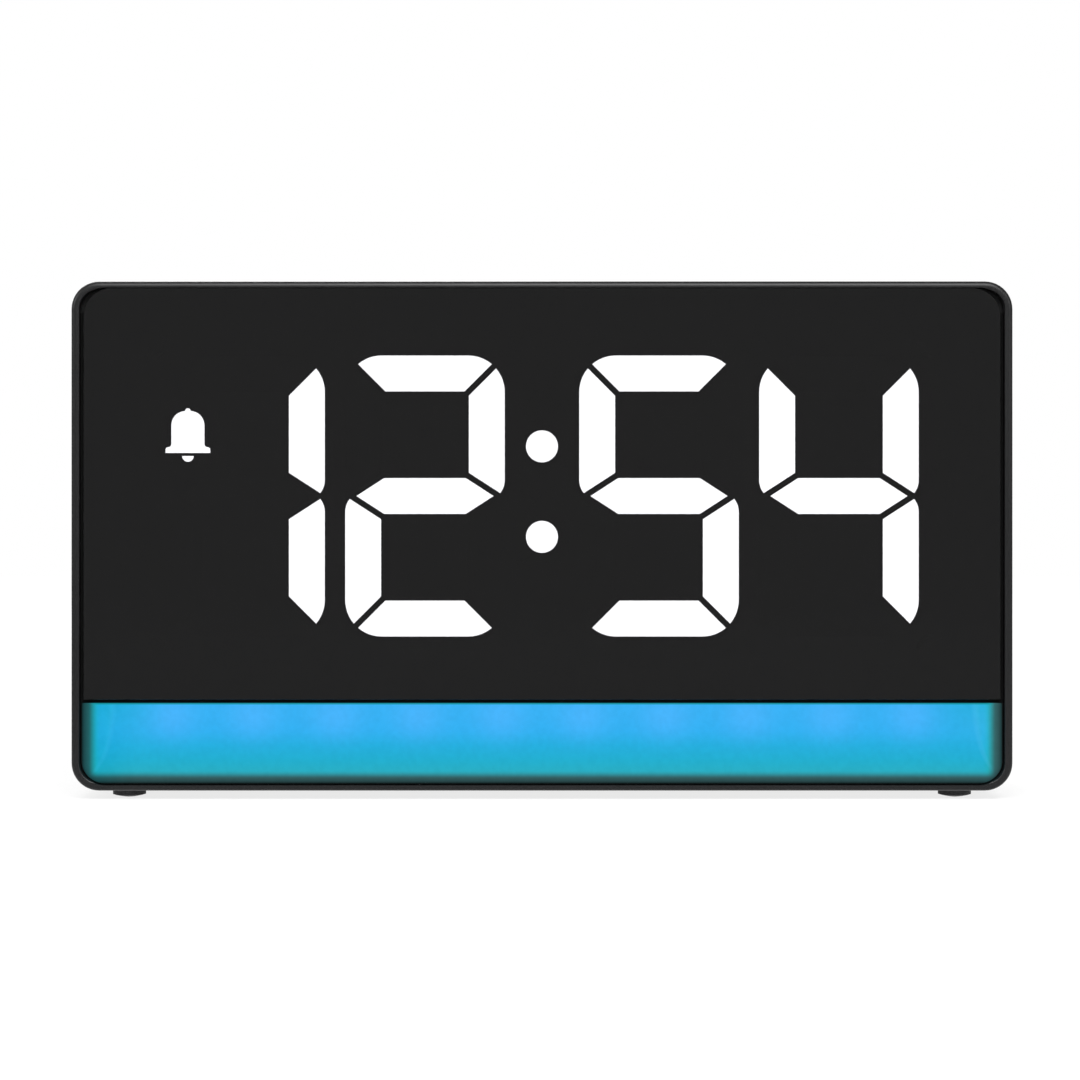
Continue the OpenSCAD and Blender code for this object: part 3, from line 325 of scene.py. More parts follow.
# The window: a flat plate of dark smoked acrylic, polished on both faces, held in the front
# shell by a frame of double-sided black foam tape. Its back is printed black round the display,
# so that nothing shows past the edges of the display block.
smoked = bpy.data.materials.new("smoked_acrylic")
smoked.use_nodes = True
smoked_tree = smoked.node_tree
smoked_shader = smoked_tree.nodes["Principled BSDF"]
smoked_place = smoked_tree.nodes.new("ShaderNodeTexCoord").outputs["Object"]
smoke_cloud = wire(smoked_tree, "ShaderNodeTexNoise", {"Vector": smoked_place, "Scale": 18.0})
smoke_tint = blend_ink(smoked_tree, smoke_cloud.outputs[0], ink(72, 72, 73), ink(77, 77, 78))
smoked_tree.links.new(smoke_tint, smoked_shader.inputs["Base Color"])
smoked_shader.inputs["Transmission Weight"].default_value = 1.0
smoked_shader.inputs["Roughness"].default_value = 0.0
smoked_shader.inputs["IOR"].default_value = 1.49
cut_past = 1.0


def block(name, low, high):
    """Starts a piece as a box between two points in mm, and opens it in edit mode."""
    bpy.ops.object.select_all(action="DESELECT")
    bpy.ops.mesh.primitive_cube_add(
        size=1.0, location=[(a + b) / 2 * mm for a, b in zip(low, high)],
        scale=[(b - a) * mm for a, b in zip(low, high)])
    piece = bpy.context.object
    piece.name = name
    bpy.ops.object.transform_apply(location=True, rotation=True, scale=True)
    bpy.ops.object.mode_set(mode="EDIT")
    return piece


def runs_along(edge, axis):
    """Whether an edge runs along an axis and is more than a millimetre long."""
    return abs(edge.verts[0].co[axis] - edge.verts[1].co[axis]) > 1 * mm


def round_edges(radius, segments):
    """Rounds the selected edges of the piece that is open, by a radius in mm."""
    bpy.ops.mesh.bevel(offset=radius * mm, segments=segments, affect="EDGES")


def round_corners(axis, radius, segments=8):
    """Rounds the corners of the block that is open, along one axis."""
    slack = 0.0001 * mm
    select_where("edges", lambda edge: all(
        abs(edge.verts[0].co[i] - edge.verts[1].co[i]) < slack for i in range(3) if i != axis))
    round_edges(radius, segments)


def round_top_corners(level, radius, segments=8):
    """Rounds the two upper corners of the upright plate that is open. Sizes in mm."""
    select_where("edges", lambda edge: at_level(2, level)(edge) and runs_along(edge, 1))
    round_edges(radius, segments)


def soften_rim(axis, level, radius, segments=4):
    """Rounds the edges round the face that lies at a level of the piece that is open."""
    select_where("edges", at_level(axis, level))
    round_edges(radius, segments)


def combine(piece, other, operation):
    """Cuts a closed shape out of a piece (DIFFERENCE) or welds it to the piece (UNION)."""
    pick(piece)
    step = piece.modifiers.new("combine", "BOOLEAN")
    step.operation = operation
    step.object = other
    step.solver = "EXACT"
    bpy.ops.object.modifier_apply(modifier="combine")
    bpy.data.objects.remove(other)


def flat_frame(name, low, high, corner, opening_low, opening_high):
    """A flat frame that stands upright: a rounded sheet with a rounded opening. Points in mm."""
    opening_corner = 1.0
    sheet = block(name, low, high)
    round_corners(1, corner)
    end_edit()
    opening = block("opening", (opening_low[0], low[1] - cut_past, opening_low[1]),
                    (opening_high[0], high[1] + cut_past, opening_high[1]))
    round_corners(1, opening_corner, 6)
    end_edit()
    combine(sheet, opening, "DIFFERENCE")
    return sheet


foam = grained("black_foam", ink(6, 6, 6), ink(12, 12, 12), (0.4, 0.4, 0.4), (0.85, 0.95), 0.04,
               gloss=0.1)
print_black = grained("black_screen_print", ink(6, 6, 6), ink(11, 11, 11), (0.3, 0.3, 0.3),
                      (0.75, 0.9), 0.004, gloss=0.1)
window_low, window_high = (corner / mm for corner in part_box("display_window"))
side_reach, top_reach = 0.36, 0.07
pane_corner, pane_edge = 5.2, 0.05
pane_x, pane_top = window_high.x + side_reach, window_high.z + top_reach
pane = block("window_pane", (-pane_x, window_low.y, window_low.z),
             (pane_x, window_high.y, pane_top))
round_top_corners(pane_top, pane_corner, 12)
soften_rim(1, window_low.y, pane_edge, 1)
end_edit()
close_piece(pane, smoked, "case", "smoked_acrylic", "display_window")

tape_low, tape_high = (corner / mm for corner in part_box("window_tape"))
behind_window = 0.02
tape_width, tape_corner = 4.0, 4.0
tape = flat_frame("window_tape_frame", (tape_low.x, tape_low.y + behind_window, tape_low.z),
                  tape_high, tape_corner, (tape_low.x + tape_width, tape_low.z + tape_width),
                  (tape_high.x - tape_width, tape_high.z - tape_width))
close_piece(tape, foam, "case", "dark_insert", "window_tape")

block_low, block_high = (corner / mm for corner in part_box("display_block"))
print_depth, print_lap, print_corner, print_gap = 0.06, 1.2, 1.0, 0.1
print_edge = tape_width + print_gap
print_y = window_high.y + behind_window
window_print = flat_frame(
    "window_print", (tape_low.x + print_edge, print_y, tape_low.z + print_edge),
    (tape_high.x - print_edge, print_y + print_depth, tape_high.z - print_edge), print_corner,
    (block_low.x + print_lap, block_low.z + print_lap),
    (block_high.x - print_lap, block_high.z - print_lap))
close_piece(window_print, print_black, "case", None)


# The light bar: a strip of frosted plastic under the window. Ten coloured lamps shine down into
# the white trough behind it, so it glows strongest along the top, and its ends show the trough's
# slanting end walls. A strip of black foam is put in the joint round the window as painted
# shade: it makes the joint as dark as its own shade would.
bar_low, bar_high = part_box("light_diffuser")
bar_glow = bpy.data.materials.new("frosted_light_bar")
bar_glow.use_nodes = True
glow_tree = bar_glow.node_tree
glow_shader = glow_tree.nodes["Principled BSDF"]
bar_calc = functools.partial(calc, glow_tree)
bar_fade = functools.partial(fade, glow_tree)
bar_blend = functools.partial(blend_ink, glow_tree)


def colour_ramp(tree, value, stops):
    """A colour that runs through stops, each a place from 0 to 1 and the colour there."""
    ramp = wire(tree, "ShaderNodeValToRGB", {"Fac": value})
    for index, (place, colour) in enumerate(stops):
        if 0 < index < len(stops) - 1:
            ramp.color_ramp.elements.new(place)
        ramp.color_ramp.elements[index].color = colour
    return ramp.outputs[0]


trough_middle = 0.4 * mm
bar_place = glow_tree.nodes.new("ShaderNodeTexCoord").outputs["Object"]
bar_axes = wire(glow_tree, "ShaderNodeSeparateXYZ", {"Vector": bar_place})
bar_x, bar_z = bar_axes.outputs["X"], bar_axes.outputs["Z"]
to_end = bar_calc("SUBTRACT", bar_high.x, bar_calc("ABSOLUTE", bar_x))
to_bottom = bar_calc("SUBTRACT", bar_z, bar_low.z)
from_middle = bar_calc("ABSOLUTE", bar_calc("SUBTRACT", bar_x, trough_middle))

# The glow from the bottom to the top of the bar
glow_foot = 1.9 * mm
bar_height = slope(glow_tree, bar_z, (bar_low.z + glow_foot, 0.0), (bar_high.z, 1.0))
lit_colour = colour_ramp(glow_tree, bar_height, (
    (0.0, ink(36, 172, 192)), (0.18, ink(27, 173, 206)), (0.39, ink(30, 173, 221)),
    (0.6, ink(45, 175, 240)), (0.8, ink(50, 175, 242)), (1.0, ink(52, 176, 243))))

# A brighter spot under each lamp
lamp_pitch, lamp_drop = 14.9 * mm, 2.2 * mm
spot_wide, spot_tall, spot_share = 4.2 * mm, 3.6 * mm, 0.8
lamp_turn = bar_calc("FRACT", bar_calc("DIVIDE", bar_x, lamp_pitch))
across_lamp = bar_calc("MULTIPLY", bar_calc("SUBTRACT", lamp_turn, 0.5), lamp_pitch)
below_lamp = bar_calc("SUBTRACT", bar_z, bar_high.z - lamp_drop)
lamp_reach = bar_calc("ADD", bar_calc("POWER", bar_calc("DIVIDE", across_lamp, spot_wide), 2.0),
                      bar_calc("POWER", bar_calc("DIVIDE", below_lamp, spot_tall), 2.0))
lamp_spot = bar_calc("EXPONENT", bar_calc("MULTIPLY", lamp_reach, -1.0))
lamp_spot = bar_calc("MULTIPLY", lamp_spot, spot_share)
lit_colour = bar_blend(lamp_spot, lit_colour, ink(72, 180, 253))

# The weaker glow past the last lamps, and the trough's end walls with a bright ridge
fall_start, fall_end, fall_share = 66 * mm, 79 * mm, 0.8
wall_foot, wall_curve, wall_lean, wall_top = 5.1 * mm, 4.2 * mm, 3.6 * mm, 77.7 * mm
wall_soft, wall_share = (-0.3 * mm, 0.5 * mm), 0.25
edge_soft, edge_share = (1.6 * mm, 3.6 * mm), 0.8
ridge_widening, ridge_foot, ridge_soft, ridge_share = 0.4 * mm, 0.6 * mm, (0.15, 1.0), 0.13
bar_fall = bar_calc("MULTIPLY", bar_height,
                    bar_fade(from_middle, fall_start, fall_end, 0.0, fall_share))
lit_colour = bar_blend(bar_fall, lit_colour, ink(28, 174, 216))
up_wall = bar_calc("DIVIDE", bar_calc("SUBTRACT", bar_z, wall_foot), -wall_curve)
trough_end = bar_calc("ADD", wall_top, bar_calc(
    "MULTIPLY", bar_calc("EXPONENT", up_wall), wall_lean))
past_end = bar_calc("SUBTRACT", from_middle, trough_end)
end_wall = bar_fade(past_end, *wall_soft, 0.0, wall_share)
lit_colour = bar_blend(end_wall, lit_colour, ink(40, 184, 214))
end_edge = bar_fade(to_end, *edge_soft, edge_share, 0.0)
lit_colour = bar_blend(end_edge, lit_colour, ink(28, 176, 178))
ridge_width = bar_calc("MULTIPLY_ADD", bar_height, ridge_widening, ridge_foot)
off_ridge = bar_calc("DIVIDE", bar_calc("ABSOLUTE", past_end), ridge_width)
end_ridge = bar_fade(off_ridge, *ridge_soft, ridge_share, 0.0)
lit_colour = bar_blend(end_ridge, lit_colour, ink(90, 205, 250))

# The dark band at the ends and the bottom, which turns the corners in a round. The bar glows less
# there, past the trough, and its outermost edge is painted near-black for the rim's shade in the
# joint: painted shade.
end_dark, bottom_dark = (1.2 * mm, 2.9 * mm), (0.9 * mm, 2.4 * mm)
band_round, band_reach = 3.4 * mm, 2.2 * mm
clear_of_end = bar_fade(to_end, *end_dark)
lit_share = bar_calc("MULTIPLY", clear_of_end, bar_fade(to_bottom, *bottom_dark))
corner_out = bar_calc("MAXIMUM", bar_calc("SUBTRACT", band_round, to_end), 0.0)
corner_down = bar_calc("MAXIMUM", bar_calc("SUBTRACT", band_round, to_bottom), 0.0)
corner_reach = bar_calc("SQRT", bar_calc("ADD", bar_calc("MULTIPLY", corner_out, corner_out),
                                         bar_calc("MULTIPLY", corner_down, corner_down)))
band_depth = bar_calc("SUBTRACT", band_round, corner_reach)
band_colour = colour_ramp(glow_tree, bar_calc("DIVIDE", band_depth, band_reach), (
    (0.0, ink(5, 20, 20)), (0.2, ink(36, 68, 70)), (0.45, ink(46, 88, 90)),
    (1.0, ink(52, 116, 118))))
bar_colour = bar_blend(lit_share, band_colour, lit_colour)

# The greener left end, and the line along the top where the bar meets the black foam strip
left_start, left_end, left_tint = -72 * mm, -81 * mm, (0.4, 0.93, 0.96, 1)
line_low, line_high, line_share = 0.3 * mm, 0.08 * mm, 0.9
bar_colour = wire(glow_tree, "ShaderNodeMix", {
    0: bar_fade(bar_x, left_start, left_end), 6: bar_colour, 7: left_tint},
    data_type="RGBA", blend_type="MULTIPLY").outputs[2]
top_line = bar_fade(bar_z, bar_high.z - line_low, bar_high.z - line_high, 0.0, line_share)
top_line = bar_calc("MULTIPLY", top_line, clear_of_end)
bar_colour = bar_blend(top_line, bar_colour, ink(4, 140, 146))

# The fine frost of its face
frost_scale, frost_span = 900.0, (0.2, 0.8)
frost = wire(glow_tree, "ShaderNodeTexNoise", {
    "Vector": bar_place, "Scale": frost_scale, "Detail": 2.0}).outputs[0]
glow_tree.links.new(bar_colour, glow_shader.inputs["Emission Color"])
glow_tree.links.new(bar_fade(frost, *frost_span, 0.97, 1.03),
                    glow_shader.inputs["Emission Strength"])
glow_tree.links.new(bar_fade(frost, *frost_span, 0.5, 0.65), glow_shader.inputs["Roughness"])
glow_tree.links.new(bar_blend(frost, ink(3, 8, 9), ink(6, 13, 14)),
                    glow_shader.inputs["Base Color"])
glow_shader.inputs["Specular IOR Level"].default_value = 0.05
dress(bar_glow, "light_diffuser")

# The black foam strip in the joint round the window stands in for the joint's shade: painted shade.
shade_strip_gap, shade_strip_width, shade_strip_front, shade_strip_top = 0.04, 0.54, 0.8, 88.0
shade_strip_corner, shade_strip_inner_corner = 0.2, 0.08
shade_strip_x = pane_x + shade_strip_gap
shade_strip = block("joint_shade_strip",
             (-shade_strip_x - shade_strip_width, window_low.y + shade_strip_front, bar_high.z / mm + shade_strip_gap),
             (shade_strip_x + shade_strip_width, tape_high.y - shade_strip_gap, shade_strip_top))
round_corners(1, shade_strip_corner, 4)
end_edit()
window_room = block("window_room", (-shade_strip_x, window_low.y - cut_past, window_low.z - shade_strip_gap),
                    (shade_strip_x, tape_high.y + cut_past, shade_strip_top + cut_past))
round_corners(1, shade_strip_inner_corner, 4)
end_edit()
combine(shade_strip, window_room, "DIFFERENCE")
close_piece(shade_strip, foam, "case", None)

white_plastic = grained("white_nylon", ink(196, 197, 195), ink(226, 226, 224), (0.8, 0.8, 0.8),
                        (0.45, 0.6), 0.01)
dress(white_plastic, "light_reflector", "lead_headers", "ribbon_sockets")
led_white = grained("lamp_resin", ink(214, 210, 190), ink(240, 238, 226), (0.5, 0.5, 0.5),
                    (0.2, 0.3), 0.005)
dress(led_white, "light_leds", "display_leds")


# The display: a black block with a cavity for each segment, closed at the front by clear white
# inserts. The inserts of 12:54, the colon and the bell are lit from behind; the others are off.
lit_insert = grained("lit_insert", ink(235, 235, 235), ink(250, 250, 250), (2, 2, 2),
                     (0.5, 0.6), 0.001)
insert_glow, faces_front = 17.0, (-0.9, -0.6)
lit_tree = lit_insert.node_tree
lit_shader = lit_tree.nodes["Principled BSDF"]
lit_shader.inputs["Emission Color"].default_value = white
lit_facing = wire(lit_tree, "ShaderNodeSeparateXYZ", {
    "Vector": lit_tree.nodes.new("ShaderNodeNewGeometry").outputs["True Normal"]})
lit_tree.links.new(fade(lit_tree, lit_facing.outputs["Y"], *faces_front, insert_glow, 0.0),
                   lit_shader.inputs["Emission Strength"])
dress(lit_insert, "lit_segments", "colon_dots", "alarm_bell")
dark_insert = grained("black_display_plastic", ink(6, 6, 6), ink(13, 13, 13), (0.4, 0.4, 0.4),
                      (0.8, 0.9), 0.01, gloss=0.1)
dress(dark_insert, "dark_segments", "display_block")


# The boards: glass-fibre laminate with green solder mask over copper tracks, and the parts and
# leads soldered to them. The main board stands behind the display, screwed to the case, with a
# small one for the snooze key under the top.


def track_board(name):
    """Green solder mask that is paler over straight tracks running across the board."""
    track_scale, track_pitch, track_edge = 140.0, 0.11, (0.05, 0.065)
    finish = grained(name, ink(14, 62, 34), ink(22, 78, 44), (0.2, 0.2, 0.2), (0.3, 0.4), 0.004)
    tree = finish.node_tree
    shader = tree.nodes["Principled BSDF"]
    place = tree.nodes.new("ShaderNodeTexCoord").outputs["Object"]
    cells = wire(tree, "ShaderNodeTexVoronoi", {"Vector": place, "Scale": track_scale},
                 distance="CHEBYCHEV", feature="F1")
    tracks = calc(tree, "PINGPONG", cells.outputs["Distance"], track_pitch)
    tracks = fade(tree, tracks, *track_edge)
    plain = shader.inputs["Base Color"].links[0].from_socket
    tree.links.new(blend_ink(tree, tracks, plain, ink(40, 118, 66)), shader.inputs["Base Color"])
    return finish


board_green = track_board("green_board")
dress(board_green, "light_board", "display_board", "main_board", "snooze_board")
black_component = grained("black_component", ink(18, 18, 19), ink(34, 34, 35), (0.25, 0.25, 0.25),
                          (0.5, 0.65), 0.008, gloss=0.4)
dress(black_component, "controller_chip", "buzzer", "dc_jack")
steel = grained("plated_steel", ink(150, 152, 155), ink(206, 208, 210), (4.0, 0.15, 0.3),
                (0.22, 0.36), 0.002, metal=1.0)
dress(steel, "key_switches", "alarm_switch", "snooze_switch", "dc_jack_pin", "display_screws",
      "main_board_screws", "snooze_screws", "reflector_screws")
brass = grained("brass_contact", ink(176, 132, 58), ink(214, 172, 92), (3.0, 0.2, 0.2),
                (0.2, 0.35), 0.002, metal=1.0)
dress(brass, "cell_spring", "cell_clip")
sleeve = grained("capacitor_sleeve", ink(24, 28, 62), ink(40, 46, 92), (1.0, 1.0, 1.0),
                 (0.25, 0.4), 0.003)
dress(sleeve, "capacitors")


def striped_lead(name, first, second, axis, pitch):
    """Side-by-side insulated wires: bands of two colours along one axis, pitch in mm."""
    wire_edge = (0.45, 0.55)
    finish = grained(name, first, second, (0.5, 0.5, 0.5), (0.35, 0.5), 0.004)
    tree = finish.node_tree
    shader = tree.nodes["Principled BSDF"]
    place = tree.nodes.new("ShaderNodeTexCoord").outputs["Object"]
    axes = wire(tree, "ShaderNodeSeparateXYZ", {"Vector": place})
    wave = calc(tree, "FRACT", calc(tree, "DIVIDE", axes.outputs[axis], pitch * mm))
    tree.links.new(blend_ink(tree, fade(tree, wave, *wire_edge), first, second),
                   shader.inputs["Base Color"])
    return finish


grey_ribbon = striped_lead("grey_ribbon", ink(128, 130, 134), ink(176, 178, 182), "X", 1.0)
dress(grey_ribbon, "display_ribbon")
paired_lead = striped_lead("red_black_lead", ink(150, 22, 20), ink(24, 24, 26), "X", 2.4)
dress(paired_lead, "light_lead", "snooze_lead")


# The snooze key: a long black key in the top of the case, hooked under the top wall by its
# flange and pressed up by its switch. Its top is dished, with a row of low grip ribs.
flange_thick = 1.0


def along(axis, length):
    """A move along one axis, by a length in mm."""
    move = [0.0, 0.0, 0.0]
    move[axis] = length * mm
    return move


def dish(axis, level, margin, depth):
    """Sinks the face at a level, inside a margin, by a depth."""
    select_where("faces", at_level(axis, level))
    bpy.ops.mesh.inset(thickness=margin * mm, depth=0.0)
    bpy.ops.transform.translate(value=along(axis, -depth))


def step_face(factors, centre, axis, length):
    """Carries the selected face on: widens or narrows it in its plane, then pulls it along."""
    bpy.ops.mesh.extrude_region_move(TRANSFORM_OT_translate={"value": (0, 0, 0)})
    bpy.ops.transform.resize(value=factors, center_override=[c * mm for c in centre])
    bpy.ops.mesh.extrude_region_move(TRANSFORM_OT_translate={"value": along(axis, length)})


def flange_and_stem(axis, shelf, middle, cap, flange, stem, tip):
    """Carries a key on from the shelf behind its cap: a flange, then a square stem to its tip.
    The middle and the sizes of cap and flange are pairs across the axis, in mm."""
    select_where("faces", at_level(axis, shelf))
    flange_end = shelf - flange_thick
    for before, after, level, end in ((cap, flange, shelf, flange_end),
                                      (flange, (stem, stem), flange_end, tip)):
        factors = [new / old for old, new in zip(before, after)]
        factors.insert(axis, 1)
        centre = list(middle)
        centre.insert(axis, level)
        step_face(factors, centre, axis, end - level)


def repeat_in_row(piece, count, axis, pitch):
    """Repeats the active piece along an axis, at a pitch in mm."""
    row = piece.modifiers.new("row", "ARRAY")
    row.count = count
    row.use_relative_offset = False
    row.use_constant_offset = True
    row.constant_offset_displace = along(axis, pitch)
    bpy.ops.object.modifier_apply(modifier="row")


key_plastic = grained("black_key_plastic", ink(24, 24, 25), ink(36, 36, 37), (0.25, 0.25, 0.25),
                      (0.38, 0.48), 0.006, gloss=0.45)
snooze_low, snooze_high = (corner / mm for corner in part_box("snooze_key"))
snooze_wide, snooze_deep, snooze_rise = 60.0, 11.0, 2.1
snooze_corner, snooze_edge, snooze_margin, snooze_dish = 3.0, 0.6, 1.6, 0.3
snooze_flange = (snooze_high.x - snooze_low.x, snooze_high.y - snooze_low.y)
key_stem_side = 4.0
snooze_y = (snooze_low.y + snooze_high.y) / 2
snooze_shelf = snooze_high.z - snooze_rise
snooze_cap = block("snooze_key_cap",
                   (-snooze_wide / 2, snooze_y - snooze_deep / 2, snooze_shelf),
                   (snooze_wide / 2, snooze_y + snooze_deep / 2, snooze_high.z))
round_corners(2, snooze_corner)
soften_rim(2, snooze_high.z, snooze_edge)
dish(2, snooze_high.z, snooze_margin, snooze_dish)
flange_and_stem(2, snooze_shelf, (0, snooze_y), (snooze_wide, snooze_deep), snooze_flange,
                key_stem_side, snooze_low.z)
end_edit()

grip_count, grip_pitch, grip_wide, grip_long = 13, 2.15, 0.6, 5.2
grip_root, grip_sink, grip_corner, grip_edge = 0.6, 0.02, 0.28, 0.2
grip_x = -(grip_count - 1) * grip_pitch / 2
grip_top = snooze_high.z - grip_sink
grip_rib = block("grip_rib",
                 (grip_x - grip_wide / 2, snooze_y - grip_long / 2, snooze_high.z - grip_root),
                 (grip_x + grip_wide / 2, snooze_y + grip_long / 2, grip_top))
round_corners(2, grip_corner, 4)
soften_rim(2, grip_top, grip_edge, 3)
end_edit()
repeat_in_row(grip_rib, grip_count, 0, grip_pitch)
combine(snooze_cap, grip_rib, "UNION")
close_piece(snooze_cap, key_plastic, "snooze", "key_plastic", "snooze_key")


# The five rear keys: small black keys in a recessed strip of the back cover, each held by its
# flange behind the cover. Each has a white printed sign: clock, bell, minus, plus and lamp.
print_white = grained("white_print", ink(196, 196, 196), ink(218, 218, 218), (0.15, 0.15, 0.15),
                      (0.6, 0.7), 0.002)
key_low, key_high = (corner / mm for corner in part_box("time_key"))
key_wide, key_tall, key_shelf = 11.0, 6.4, 18.9
key_corner, key_edge, key_margin, key_dish = 2.0, 0.5, 0.9, 0.12
key_flange = (key_high.x - key_low.x, key_high.z - key_low.z)
print_room, print_thick = 0.05, 0.12
key_face = key_high.y - print_room
print_face = key_face - print_room
print_back = print_face - print_thick


def middle_of(node):
    """The middle of a solid's box, in mm."""
    low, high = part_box(node)
    return (low + high) / 2 / mm


def thicken_print():
    """Gives the flat print that is open its thickness, and closes it."""
    bpy.ops.mesh.select_all(action="SELECT")
    bpy.ops.mesh.extrude_region_move(TRANSFORM_OT_translate={"value": along(1, print_thick)})
    end_edit()


def printed_bar(x, z, width, height):
    """A printed stroke on the back, with rounded ends. Sizes in mm."""
    corner_share = 0.35
    bar = block("stroke", (x - width / 2, print_back, z - height / 2),
                (x + width / 2, print_face, z + height / 2))
    round_corners(1, min(width, height) * corner_share, 3)
    end_edit()
    return bar


def printed_ring(x, z, outer, inner):
    """A printed circle on the back: a round outline drawn inward and given a little thickness."""
    middle = (x * mm, print_back * mm, z * mm)
    bpy.ops.object.select_all(action="DESELECT")
    bpy.ops.mesh.primitive_circle_add(vertices=40, radius=outer * mm, fill_type="NOTHING",
                                      location=middle, rotation=(math.radians(90), 0, 0))
    ring = bpy.context.object
    bpy.ops.object.transform_apply(location=True, rotation=True, scale=True)
    bpy.ops.object.mode_set(mode="EDIT")
    bpy.ops.mesh.select_all(action="SELECT")
    bpy.ops.mesh.extrude_edges_move(TRANSFORM_OT_translate={"value": (0, 0, 0)})
    bpy.ops.transform.resize(value=(inner / outer, 1, inner / outer), center_override=middle)
    thicken_print()
    return ring


def printed_bell(x, z):
    """A printed bell: a flat brim drawn upward edge by edge into its crown."""
    brim_wide, brim_tall = 3.4, 0.36
    crown_steps = ((0.12, 2.5), (0.75, 2.3), (0.6, 2.1), (0.35, 1.5), (0.15, 0.6))
    bpy.ops.object.select_all(action="DESELECT")
    bpy.ops.mesh.primitive_plane_add(size=1.0, location=(x * mm, print_back * mm, z * mm),
                                     rotation=(math.radians(90), 0, 0))
    bell = bpy.context.object
    bell.scale = (brim_wide * mm, brim_tall * mm, 1.0)
    bpy.ops.object.transform_apply(location=True, rotation=True, scale=True)
    bpy.ops.object.mode_set(mode="EDIT")
    top, width = z + brim_tall / 2, brim_wide
    for rise, new_width in crown_steps:
        select_where("edges", at_level(2, top))
        bpy.ops.mesh.extrude_edges_move(TRANSFORM_OT_translate={"value": along(2, rise)})
        bpy.ops.transform.resize(value=(new_width / width, 1, 1),
                                 center_override=(x * mm, print_face * mm, top * mm))
        top, width = top + rise, new_width
    thicken_print()
    return bell


def clock_strokes(x, z):
    """A dial with two hands."""
    return [printed_ring(x, z, 1.9, 1.55), printed_bar(x, z + 0.5, 0.3, 1.4),
            printed_bar(x - 0.42, z, 1.0, 0.3)]


def bell_strokes(x, z):
    """A bell with its clapper."""
    return [printed_bell(x, z - 1.05), printed_bar(x, z - 1.55, 0.9, 0.35)]


def minus_strokes(x, z):
    """One level stroke."""
    return [printed_bar(x, z, 3.0, 0.5)]


def plus_strokes(x, z):
    """A level and an upright stroke."""
    return [printed_bar(x, z, 3.0, 0.5), printed_bar(x, z, 0.5, 3.0)]


def lamp_strokes(x, z):
    """A round bulb over the two rings of its cap."""
    return [printed_ring(x, z + 0.45, 1.4, 1.05), printed_bar(x, z - 1.2, 1.2, 0.3),
            printed_bar(x, z - 1.75, 0.8, 0.3)]


first_key = middle_of("time_key")
key_model = block("time_key_cap",
                  (first_key.x - key_wide / 2, key_shelf, first_key.z - key_tall / 2),
                  (first_key.x + key_wide / 2, key_face, first_key.z + key_tall / 2))
round_corners(1, key_corner)
soften_rim(1, key_face, key_edge)
dish(1, key_face, key_margin, key_dish)
flange_and_stem(1, key_shelf, (first_key.x, first_key.z), (key_wide, key_tall), key_flange,
                key_stem_side, key_low.y)
end_edit()

key_signs = {"time_key": ("clock_sign", clock_strokes), "alarm_key": ("bell_sign", bell_strokes),
             "down_key": ("minus_sign", minus_strokes), "up_key": ("plus_sign", plus_strokes),
             "light_key": ("lamp_sign", lamp_strokes)}
key_caps = {node: copy_of(key_model, node + "_cap", middle_of(node) - first_key)
            for node in key_signs if node != "time_key"}
key_caps["time_key"] = key_model
for node, (sign_name, draw_strokes) in key_signs.items():
    close_piece(key_caps[node], key_plastic, node, "key_plastic", node)
    sign, *strokes = draw_strokes(middle_of(node).x, middle_of(node).z)
    for stroke in strokes:
        combine(sign, stroke, "UNION")
    sign.name = sign_name
    close_piece(sign, print_white, node, None)


# The alarm slider: a small ribbed thumb at the end of the key strip that slides between off
# and on, hooked behind the cover by its flange, with a bell printed beside it.
slide_low, slide_high = (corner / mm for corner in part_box("alarm_slider"))
slide_x, slide_z = (slide_low.x + slide_high.x) / 2, (slide_low.z + slide_high.z) / 2
thumb_wide, thumb_tall, thumb_corner, thumb_edge = 4.6, 5.0, 0.5, 0.3
thumb_flange = (slide_high.x - slide_low.x, slide_high.z - slide_low.z)
thumb_stem_side, thumb_rib_rise = 2.0, 0.4
thumb_face = slide_high.y - thumb_rib_rise
thumb = block("alarm_slider_thumb",
              (slide_x - thumb_wide / 2, key_shelf, slide_z - thumb_tall / 2),
              (slide_x + thumb_wide / 2, thumb_face, slide_z + thumb_tall / 2))
round_corners(1, thumb_corner, 4)
soften_rim(1, thumb_face, thumb_edge, 3)
flange_and_stem(1, key_shelf, (slide_x, slide_z), (thumb_wide, thumb_tall), thumb_flange,
                thumb_stem_side, slide_low.y)
end_edit()

thumb_rib_count, thumb_rib_pitch, thumb_rib_wide, thumb_rib_long = 3, 1.4, 0.5, 4.0
thumb_rib_root, thumb_rib_corner, thumb_rib_edge = 0.3, 0.2, 0.18
thumb_rib_x = slide_x - (thumb_rib_count - 1) * thumb_rib_pitch / 2
thumb_rib = block("thumb_rib", (thumb_rib_x - thumb_rib_wide / 2, thumb_face - thumb_rib_root,
                                slide_z - thumb_rib_long / 2),
                  (thumb_rib_x + thumb_rib_wide / 2, slide_high.y, slide_z + thumb_rib_long / 2))
round_corners(1, thumb_rib_corner, 3)
soften_rim(1, slide_high.y, thumb_rib_edge, 3)
end_edit()
repeat_in_row(thumb_rib, thumb_rib_count, 0, thumb_rib_pitch)
combine(thumb, thumb_rib, "UNION")
close_piece(thumb, key_plastic, "alarm_slider", "key_plastic", "alarm_slider")

strip_floor, bell_aside = 21.3, 8.6
bell_move = (slide_x + bell_aside - middle_of("alarm_key").x,
             strip_floor + print_thick / 2 - print_face, 0)
slide_bell = copy_of(bpy.data.objects["bell_sign"], "slider_bell_sign", bell_move)
close_piece(slide_bell, print_white, "case", None)


